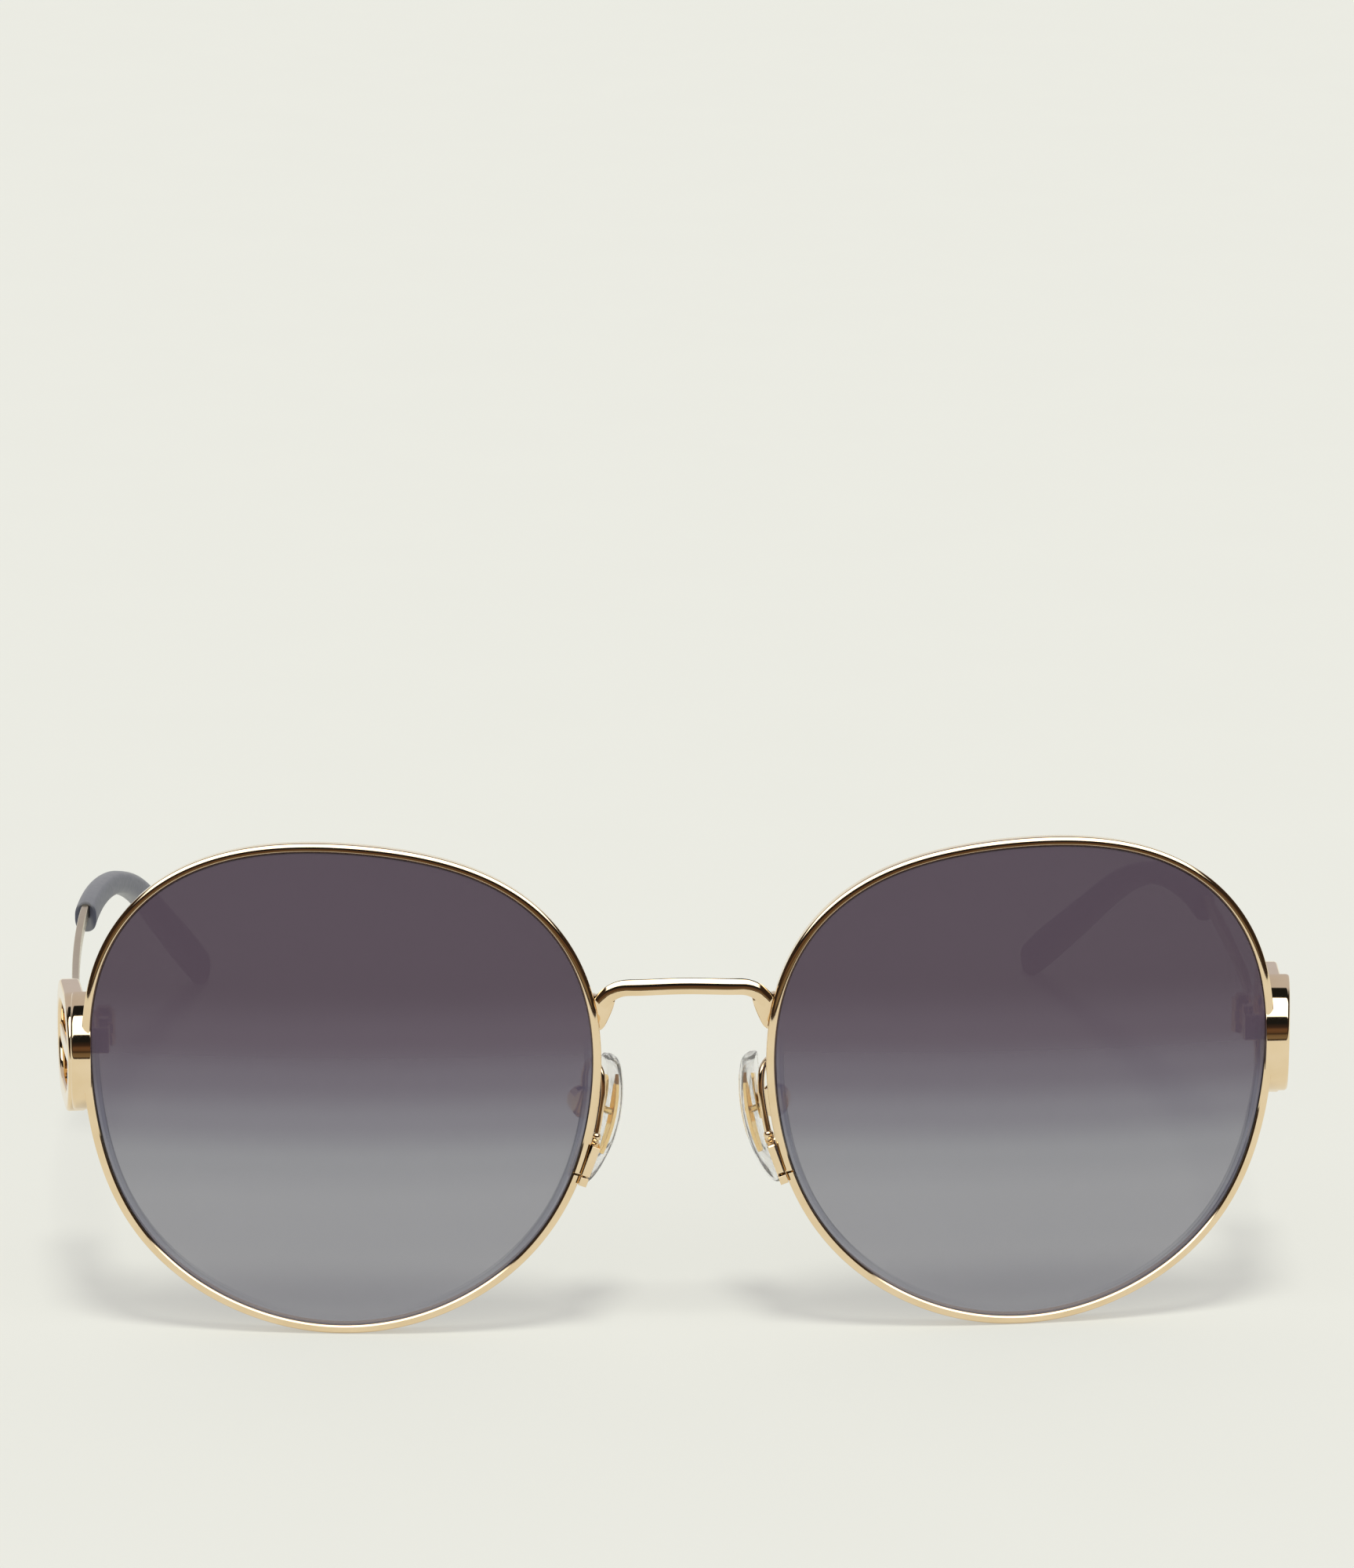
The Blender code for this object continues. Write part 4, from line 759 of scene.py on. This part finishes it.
# %% Bars
BAR_START, BAR_END_SHORT, BAR_STEPS, BAR_ROUND = 6.0 * MM, 9.0 * MM, 120, 0.22

for label, side in SIDES.items():
    bm = bmesh.new()
    section = rounded_box(BAR_WIDTH / 2 / MM, BAR_HEIGHT / 2 / MM, BAR_ROUND, 4)
    first, last = (BAR_START + SOLDER_GAP) / TEMPLE_REACH, 1 - BAR_END_SHORT / TEMPLE_REACH
    skin(bm, [temple_ring(side, first + (last - first) * i / BAR_STEPS, section)
              for i in range(BAR_STEPS + 1)])
    add_piece(f"bar_{label}", bm, temple_frame(side), PALE_GOLD, f"{label}_temple",
              f"temple_bar_{label}")
print("bars have", BAR_STEPS, "steps")

# %% [markdown]
# ## Sleeve finish
# The sleeves are moulded cellulose in a translucent blue-grey, satin rather than glossy. Light
# enters a little way, so there is some subsurface scattering, and a fine grain in the roughness
# breaks the sheen. The flanks are painted deeper and bluer, as painted shade along the sides.
# %% Satin sleeve
SLEEVE_TINTS = [(0.3, (0.175, 0.180, 0.196)), (0.7, (0.205, 0.208, 0.222))]
# Painted shade for the flanks, and how far sideways it begins.
PAINTED_FLANK_SHADE, PAINTED_FLANK_LEVELS = (0.070, 0.076, 0.110), [(0.55, 0.0), (0.97, 1.0)]


def satin_sleeve():
    material, nodes, links, shader = new_material("satin_grey_sleeve")
    tint = add_ramp(nodes, links, add_noise(nodes, links, 120.0, 4.0), SLEEVE_TINTS)
    # Painted shade: the sides of the sleeve are darkened and turned bluer.
    depth = add_ramp(nodes, links, add_attribute(nodes, "flank_shade_share"), PAINTED_FLANK_LEVELS)
    links.new(add_mix(nodes, links, depth, tint, PAINTED_FLANK_SHADE), shader.inputs["Base Color"])
    grain = add_noise(nodes, links, 1600.0, 2.0)
    links.new(add_range(nodes, links, grain, 0.32, 0.48), shader.inputs["Roughness"])
    bump = nodes.new("ShaderNodeBump")
    set_inputs(bump, {"Strength": 0.08, "Distance": 0.05 * MM})
    links.new(grain, bump.inputs["Height"])
    links.new(bump.outputs["Normal"], shader.inputs["Normal"])
    set_inputs(shader, {"Subsurface Weight": 0.15, "Subsurface Scale": 1.0,
                        "Subsurface Radius": (1.0 * MM, 1.0 * MM, 1.2 * MM)})
    return material


SLEEVE = satin_sleeve()
print("sleeve finish:", SLEEVE.name)

# %% Sleeves
TIP_START, TIP_WIDTH, TIP_HEIGHT = 1 - 0.556, 2.75 * MM, 3.8 * MM
TIP_END_ROUND, TIP_FRONT_SAG, SAG_REACH = 1.6 * MM, 0.85 * MM, 0.33
TIP_WIDTH_SHARES = ((0.0, 1.0), (0.33, 1.0), (0.6, 1.0), (0.9, 1.05), (1.0, 1.0))
TIP_HEIGHT_SHARES = ((0.0, 1.0), (0.33, 0.80), (0.6, 1.05), (0.9, 1.32), (1.0, 1.25))
TIP_SIDES, TIP_STEPS, TIP_POWER = 48, 90, 2.6
BORE_GAP, BORE_DEPTH, BORE_MOUTH, BORE_POWER = 0.08 * MM, 3.0 * MM, 0.0005, 8
# The sleeve's mouth, from the bore out: how much smaller, how far back in millimetres, and the
# share of the sag, because the bar leaves the sleeve above its middle.
MOUTH_ROWS = ((0.55, 0.0, 0.1), (0.22, 0.0, 1.0), (0.10, 0.03, 1.0), (0.03, 0.10, 1.0))
MOUTH_END = 0.25 * MM / TEMPLE_REACH


def tip_section(half_width, half_height):
    return superellipse(half_width, half_height, TIP_POWER, TIP_SIDES)


for label, side in SIDES.items():
    bm = bmesh.new()
    flank_shade_share = bm.verts.layers.float.new("flank_shade_share")
    bore = superellipse(BAR_WIDTH / 2 + BORE_GAP, BAR_HEIGHT / 2 + BORE_GAP, BORE_POWER, TIP_SIDES)
    rings = [temple_ring(side, TIP_START + BORE_DEPTH / TEMPLE_REACH, bore),
             temple_ring(side, TIP_START + BORE_MOUTH, bore)]
    for inset, ahead, sag in MOUTH_ROWS:
        section = tip_section(TIP_WIDTH / 2 - inset * MM, TIP_HEIGHT / 2 - inset * MM)
        share = TIP_START + ahead * MM / TEMPLE_REACH
        rings.append(temple_ring(side, share, section, TIP_FRONT_SAG * sag))
    start, end = TIP_START + MOUTH_END, 1 - TIP_END_ROUND / TEMPLE_REACH
    for t in [i / TIP_STEPS for i in range(TIP_STEPS + 1)]:
        section = tip_section(TIP_WIDTH / 2 * read_shares(TIP_WIDTH_SHARES, t),
                              TIP_HEIGHT / 2 * read_shares(TIP_HEIGHT_SHARES, t))
        sag = TIP_FRONT_SAG * max(1 - t / SAG_REACH, 0)
        rings.append(temple_ring(side, start + (end - start) * t, section, sag))
    for turn in map(radians, range(10, 90, 10)):
        loss = TIP_END_ROUND * (1 - cos(turn))
        section = tip_section(TIP_WIDTH / 2 - loss / 2,
                              TIP_HEIGHT * TIP_HEIGHT_SHARES[-1][1] / 2 - loss)
        rings.append(temple_ring(side, end + (1 - end) * sin(turn), section))
    # Each point stores how far it faces sideways, for the painted shade on the flanks.
    for row in skin(bm, rings):
        for i, vertex in enumerate(row):
            vertex[flank_shade_share] = abs(cos(2 * pi * (i + 0.5) / TIP_SIDES))
    add_piece(f"ear_sleeve_{label}", bm, temple_frame(side), SLEEVE, f"{label}_temple",
              f"temple_tip_{label}", slot="tip", sharp=60)
print("sleeves have", TIP_SIDES, "sides")

# %% [markdown]
# ## Nose pads
# Clear silicone cushions, each moulded over the metal that the pad box holds. The light goes
# through them, so they get a real refracting material, and the metal shows through it. Three
# parts make that metal: a flat strip along the cushion's front edge, an oval plate on the outer
# side, and a stem that runs out to the pad box. A dark block on the strip's upper end is painted
# shade, standing for the shade in the slot there.
# %% Clear silicone
SILICONE_TINTS = [(0.3, (0.975, 0.98, 0.975)), (0.7, (1.0, 1.0, 0.995))]


def clear_silicone():
    material, nodes, links, shader = new_material("clear_silicone")
    haze = add_noise(nodes, links, 300.0, 2.0)
    links.new(add_ramp(nodes, links, haze, SILICONE_TINTS), shader.inputs["Base Color"])
    set_inputs(shader, {"Transmission Weight": 0.92, "IOR": 1.36, "Roughness": 0.06})
    return material


SILICONE = clear_silicone()
CORE_GOLD = polished_metal("core_gold", (0.93, 0.67, 0.31), (0.88, 0.61, 0.26), 0.20)
# A dark finish of painted shade, for the shade in a slot at the core's upper end.
PAINTED_SHADE_LIP_GOLD = polished_metal("lip_painted_shade_gold", (0.27, 0.13, 0.035), (0.20, 0.09, 0.025), 0.30)
print("pad finish:", SILICONE.name)

# %% Pad shapes
PAD_LENGTH, PAD_WIDTH, PAD_THICKNESS, PAD_BOW = mm(16.4, 7.0, 2.2, 1.3)
PAD_WIDTH_SHARES = ((-1.0, 0), (-0.95, 0.30), (-0.8, 0.56), (-0.5, 0.80), (-0.1, 0.97),
                    (0.25, 1.0), (0.6, 0.88), (0.85, 0.60), (0.96, 0.32), (1.0, 0))
PAD_TILT, PAD_SPLAY = radians(14), radians(12)
PAD_OUT, PAD_BACK, PAD_DOWN = mm(8.8, 8.8, 6.5)
PAD_POWER, PAD_SIDES, PAD_RINGS, PAD_FULL_SHARE = 2.4, 72, 96, 0.75
# The cushion spreads outwards from this far in front of its middle; a fitter never bends the
# two pads quite alike.
PAD_FLARE, FLARE_START = 0.10, {1: 3.3 * MM, -1: 1.3 * MM}
PAD_BOX_OFFSET, PAD_BOX_RISE = mm(3.1, 1.8)


def pad_matrix(side):
    """The pad's place and lean: its top towards the nose, its rear edge spread outwards."""
    up = Vector((-side * sin(PAD_TILT), 0, cos(PAD_TILT)))
    back = square_to(up, Vector((side * sin(PAD_SPLAY), cos(PAD_SPLAY), 0)))
    turn = Matrix((back.cross(up), back, up)).transposed().to_4x4()
    return Matrix.Translation((side * PAD_OUT, PAD_BACK, -PAD_DOWN)) @ turn


def pad_flare(side, back):
    return PAD_FLARE * (back + FLARE_START[side])


def pad_ring(side, share):
    """The cushion's section at a share of its half length, flat on the outer side."""
    size = max(read_shares(PAD_WIDTH_SHARES, share), 0.0)
    fullness = 1 - (1 - min(size / PAD_FULL_SHARE, 1.0)) ** 2
    bow, face = PAD_BOW * share**2, PAD_THICKNESS / 2
    section = superellipse(PAD_WIDTH / 2 * size, face * fullness, PAD_POWER, PAD_SIDES)
    return [(side * (bow + min(y + pad_flare(side, x), face)), x, PAD_LENGTH / 2 * share)
            for x, y in section]


print("pads are", round(PAD_LENGTH / MM, 1), "mm long")

# %% Metal in the pads
CORE_BOTTOM, CORE_TOP, CORE_THICKNESS, CORE_BACK = mm(-3.4, 5.1, 0.30, -1.60)
CORE_INSET, CORE_LIFT, LIP_GAP, LIP_HEIGHT = 0.85 * MM, -0.14 * MM, 0.05, 1.0
PLATE_LIFT, PLATE_THICKNESS, PLATE_BACK, PLATE_RISE = mm(1.05, 0.50, -0.5, 2.9)
PLATE_DEPTH, PLATE_HEIGHT = mm(2.6, 5.8)
STEM_START, STEM_RADIUS, STEM_FLARE, STEM_STEPS = 1.3 * CORE_BACK, 0.42, 0.3, 6
CORE_SIDES, CORE_RINGS, STEM_FLATTEN = 40, 24, 0.8


def core_ring(side, height):
    """The core's front edge follows the cushion's outline, one fixed distance inside it."""
    share = 2 * height / PAD_LENGTH
    front = PAD_WIDTH / 2 * read_shares(PAD_WIDTH_SHARES, share) - CORE_INSET
    half, middle = (front + CORE_BACK) / 2, (CORE_BACK - front) / 2
    out = PAD_BOW * share**2 + CORE_LIFT + pad_flare(side, middle)
    return [(side * (out + y), middle + x, height)
            for x, y in superellipse(half, CORE_THICKNESS / 2, 8, CORE_SIDES)]


def plate_ring(side, share):
    """The oval plate on the core's outer side, which the stem passes through."""
    section = superellipse(PLATE_DEPTH / 2 * sqrt(1 - share**2), PLATE_THICKNESS / 2, 4,
                           CORE_SIDES)
    return [(side * (PLATE_LIFT + y), PLATE_BACK + x, PLATE_RISE + PLATE_HEIGHT / 2 * share)
            for x, y in section]


def stem_ring(side, step):
    """The stem from the core to the pad box, which it enters wider."""
    share = step / STEM_STEPS
    place = Vector((side * (CORE_LIFT + (PAD_BOX_OFFSET - CORE_LIFT) * share),
                    STEM_START * (1 - share), PAD_BOX_RISE))
    radius = (STEM_RADIUS + STEM_FLARE * max((step - 4) / 2, 0)) * MM
    return [place + Vector((0, back * STEM_FLATTEN, up)) for back, up in circle(radius)]


print("cores are", round((CORE_TOP - CORE_BOTTOM) / MM, 1), "mm long")

# %% Pads and their metal
for label, side in SIDES.items():
    bm = bmesh.new()
    shares = [-cos(pi * (0.01 + 0.98 * i / PAD_RINGS)) for i in range(PAD_RINGS + 1)]
    skin(bm, [pad_ring(side, share) for share in shares])
    add_piece(f"silicone_pad_{label}", bm, STAND @ pad_matrix(side), SILICONE, f"{label}_pad",
              f"nose_pad_{label}", slot="pad", sharp=80)
    bm = bmesh.new()
    skin(bm, [core_ring(side, CORE_BOTTOM + (CORE_TOP - CORE_BOTTOM) * k / CORE_RINGS)
              for k in range(CORE_RINGS + 1)])
    skin(bm, [stem_ring(side, step) for step in range(STEM_STEPS + 1)])
    skin(bm, [plate_ring(side, -cos(pi * (0.03 + 0.94 * k / CORE_RINGS)))
              for k in range(CORE_RINGS + 1)])
    add_piece(f"pad_insert_{label}", bm, STAND @ pad_matrix(side), CORE_GOLD, f"{label}_pad",
              f"pad_core_{label}")
    # A dark block of painted shade on the core's upper end.
    bm = bmesh.new()
    skin(bm, [core_ring(side, CORE_TOP + (LIP_GAP + LIP_HEIGHT * k / 4) * MM) for k in range(5)])
    add_piece(f"pad_core_painted_shade_lip_{label}", bm, STAND @ pad_matrix(side), PAINTED_SHADE_LIP_GOLD, f"{label}_pad")
print("a pad's middle is at", [round(v, 4) for v in (STAND @ pad_matrix(1)).translation])

# %% [markdown]
# ## Pad arms
# A bent wire rises from the closing block behind the rim and turns over to the pad box, which
# a fitter bends to seat the pads. It is a round skin along the same few points as the CAD's.
# %% Pad arms
ARM_RADIUS, ARM_TOP, BLOCK_HEIGHT, BOX_RADIUS = mm(0.42, 1.5, 3.7, 1.8)
# Where the arm has got to at each bend: sideways in its own radii, then shares of its reach
# across, back and up.
ARM_BENDS = ((1, 0, 0.1, 0.25), (2, 0, 0.22, 0.6), (1.6, 0, 0.36, 0.88), (0, 0.1, 0.55, 1),
             (0, 0.55, 0.8, 0.95), (0, 0.95, 0.98, 0.75))
# The beads of solder at its foot: how far down, and how big, in millimetres.
ARM_BEADS = ((0.0, 0.62), (0.55, 0.5))


def split_frame(side):
    """The directions at the rim's opening: up along the rim, outwards from the lens, and back."""
    origin = on_lens(side, outline_radius(SPLIT_ANGLE), SPLIT_ANGLE)
    turn = SPLIT_GAP / LENS_RADIUS
    ahead = on_lens(side, outline_radius(SPLIT_ANGLE - turn), SPLIT_ANGLE - turn)
    up = (ahead - origin).normalized()
    outward = square_to(up, Vector((side * cos(SPLIT_ANGLE), 0, sin(SPLIT_ANGLE))))
    back = up.cross(outward)
    return origin, up, outward, back if back.y > 0 else -back


def wire(bm, route, radius):
    """A round wire along a route, its section kept from twisting."""
    across, rings = Vector((0, 1, 0)), []
    for i, place in enumerate(route):
        along = direction_along(route, i)
        across = square_to(along, across)
        other = along.cross(across)
        rings.append([place + (across * x + other * y) * radius for x, y in circle(1)])
    skin(bm, rings)


def arm_route(side):
    origin, up, outward, back = split_frame(side)
    root = (origin + up * (SPLIT_GAP / 2 + BLOCK_HEIGHT + SOLDER_GAP + ARM_RADIUS)
            + outward * (RIM_WIDTH + ARM_RADIUS)
            + back * (RIM_DEPTH / 2 + FLANGE_GAP + ARM_RADIUS))
    box_top = pad_matrix(side) @ Vector((side * (PAD_BOX_OFFSET + ARM_RADIUS), 0,
                                         PAD_BOX_RISE + BOX_RADIUS + SOLDER_GAP))
    reach, rise = box_top - root, ARM_TOP - root.z
    bends = [root + Vector((reach.x * across - side * ARM_RADIUS * aside, reach.y * behind,
                            rise * high)) for aside, across, behind, high in ARM_BENDS]
    return smooth_route([root, *bends, box_top], 12)


for label, side in SIDES.items():
    bm = bmesh.new()
    route = arm_route(side)
    wire(bm, route, ARM_RADIUS)
    for down, size in ARM_BEADS:
        place = Matrix.Translation(route[0] - split_frame(side)[1] * down * MM)
        bmesh.ops.create_icosphere(bm, subdivisions=4, radius=size * MM, matrix=place)
    add_piece(f"arm_wire_{label}", bm, STAND, GOLD, "front", f"pad_arm_{label}")
print("arm length", route_length(route), "mm")

# %% [markdown]
# ## Small hardware from the CAD
# Closing blocks, hinge leaves and pad boxes have the right shape already. They only need their
# sharp edges softened, with a Bevel modifier, and the metal finish.
# %% Carried-over nodes
SOFTENED = ("closing_block_upper", "closing_block_lower", "hinge_front_leaf",
            "hinge_temple_leaf", "pad_box")
SCREWS = ("closing_screw", "hinge_screw", "pad_screw")

for label in SIDES:
    for name in SOFTENED + SCREWS:
        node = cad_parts[f"{name}_{label}"]
        node.data.materials.clear()
        node.data.materials.append(SCREW_GOLD if name in SCREWS else GOLD)
        if name in SOFTENED:
            soften = node.modifiers.new("soft_edges", "BEVEL")
            soften.width, soften.segments = 0.06 * MM, 3
            soften.limit_method, soften.angle_limit = "ANGLE", radians(40)
            soften.harden_normals = True
print("carried over:", len([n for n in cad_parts.values() if not n.hide_render]), "nodes")

# %% [markdown]
# ## The studio
# A pale floor that runs back out of sight, a broad soft light overhead and in front, and
# darkness between and beside them: polished metal is drawn by what stands round it. The world
# holds the light as bands by direction. The camera sees the same pale tone beyond the floor.
# %% Floor
PALE, FLOOR_GLOW = (0.813, 0.813, 0.753), 0.48
FLOOR_SHARES = ((0.3, 0.988), (0.7, 0.993))


def pale_floor():
    """It is lit and also glows a little, so its far parts keep one tone."""
    material, nodes, links, shader = new_material("pale_floor")
    nodes.remove(shader)
    tones = [(at, tuple(value * share for value in PALE)) for at, share in FLOOR_SHARES]
    tone = add_ramp(nodes, links, add_noise(nodes, links, 40.0, 2.0), tones)
    diffuse = nodes.new("ShaderNodeBsdfDiffuse")
    glow = nodes.new("ShaderNodeEmission")
    links.new(tone, diffuse.inputs["Color"])
    links.new(tone, glow.inputs["Color"])
    bounced = nodes.new("ShaderNodeLightPath").outputs["Is Diffuse Ray"]
    mix = nodes.new("ShaderNodeMixShader")
    share = add_math(nodes, links, "MULTIPLY_ADD", bounced, -FLOOR_GLOW, FLOOR_GLOW)
    links.new(share, mix.inputs["Fac"])
    links.new(diffuse.outputs[0], mix.inputs[1])
    links.new(glow.outputs[0], mix.inputs[2])
    links.new(mix.outputs[0], nodes["Material Output"].inputs["Surface"])
    return material


bm = bmesh.new()
bmesh.ops.create_grid(bm, x_segments=8, y_segments=8, size=6.0)
floor_mesh = bpy.data.meshes.new("floor")
bm.to_mesh(floor_mesh)
bm.free()
floor_mesh.materials.append(pale_floor())
floor = add_object("floor", floor_mesh)
print("floor glow share", FLOOR_GLOW)

# %% World
LAMP, DARK, AMBIENT = (2.5,) * 3, (0.012,) * 3, 0.50
WALL, BESIDE, AMBIENT_TINT = (0.57, 0.55, 0.585), (0.034, 0.021, 0.014), (1.0, 0.99, 1.04)
# Degrees from the floor behind the glasses, over their top, to the floor in front: the wall,
# the dark above it, the softbox, the dark in front of it, and warm glints low in front.
BANDS = [(0, WALL), (68, WALL), (70, DARK), (94, DARK), (95.5, LAMP), (133, LAMP), (134.5, DARK),
         (147, DARK), (155, (0.045, 0.026, 0.018)), (159, (0.14, 0.072, 0.038)),
         (164, (0.12, 0.066, 0.034)), (167, (0.04, 0.026, 0.015)), (170, (0.17, 0.115, 0.065)),
         (176, (0.21, 0.15, 0.085)), (178, (0.04, 0.028, 0.018)), (180, (0.03, 0.02, 0.012))]
# How far to the side the bands end and the darkness beside them begins.
BESIDE_FROM, BESIDE_TO = 0.74, 0.80

world = bpy.data.worlds.new("studio")
bpy.context.scene.world = world
world.use_nodes = True
nodes, links = world.node_tree.nodes, world.node_tree.links
parts = nodes.new("ShaderNodeSeparateXYZ")
links.new(nodes.new("ShaderNodeTexCoord").outputs["Generated"], parts.inputs["Vector"])
turn = add_math(nodes, links, "ARCTAN2", parts.outputs["Z"], parts.outputs["Y"])
half_turns = add_math(nodes, links, "DIVIDE", turn, pi)
bands = add_ramp(nodes, links, half_turns, [(degrees / 180, tint) for degrees, tint in BANDS])
sideways = add_math(nodes, links, "ABSOLUTE", parts.outputs["X"])
beside = add_range(nodes, links, sideways, 0.0, 1.0, BESIDE_FROM, BESIDE_TO)
studio = add_mix(nodes, links, beside, bands, BESIDE)
rays = nodes.new("ShaderNodeLightPath").outputs
plain = add_math(nodes, links, "MAXIMUM", rays["Is Camera Ray"], rays["Is Transmission Ray"])
seen = add_mix(nodes, links, plain, studio, PALE)
ambient = tuple(AMBIENT * tint for tint in AMBIENT_TINT)
links.new(add_mix(nodes, links, rays["Is Diffuse Ray"], seen, ambient),
          nodes["Background"].inputs["Color"])
print("bands:", len(BANDS))

# %% Key light
KEY_HEIGHT = radians(78)
key = bpy.data.lights.new("overhead_softbox", "SUN")
key.energy, key.angle = (1 - AMBIENT) * pi / sin(KEY_HEIGHT), radians(15)
key.color = (1.0, 1.015, 0.94)
lamp = add_object("overhead_softbox", key)
lamp.rotation_euler = (pi / 2 - KEY_HEIGHT, 0, 0)
lamp.visible_glossy = False
print("key light strength", round(key.energy, 2))

# %% [markdown]
# ## The camera
# The photograph was taken from in front, a little above and to the left, from about 0.7 metres.
# %% Camera and colour
CAMERA_PLACE = (-46.2921 * MM, -677.981 * MM, 171.5505 * MM)
ASIDE, DIP, ROLL = map(radians, (3.822, 11.3, 0.264))
camera = bpy.data.cameras.new("camera")
camera.lens, camera.sensor_width, camera.clip_start, camera.clip_end = 137.718, 36.0, 0.01, 50.0
viewer = add_object("camera", camera)
forward = Vector((sin(ASIDE) * cos(DIP), cos(ASIDE) * cos(DIP), -sin(DIP)))
level = Vector((cos(ASIDE), -sin(ASIDE), 0))
upright = level.cross(forward)
right = level * cos(ROLL) + upright * sin(ROLL)
above = upright * cos(ROLL) - level * sin(ROLL)
turn = Matrix((right, above, -forward)).transposed().to_4x4()
viewer.matrix_world = STAND @ Matrix.Translation(CAMERA_PLACE) @ turn
bpy.context.scene.camera = viewer
bpy.context.scene.view_settings.view_transform = "Standard"
print("camera at", [round(v, 3) for v in viewer.matrix_world.translation])
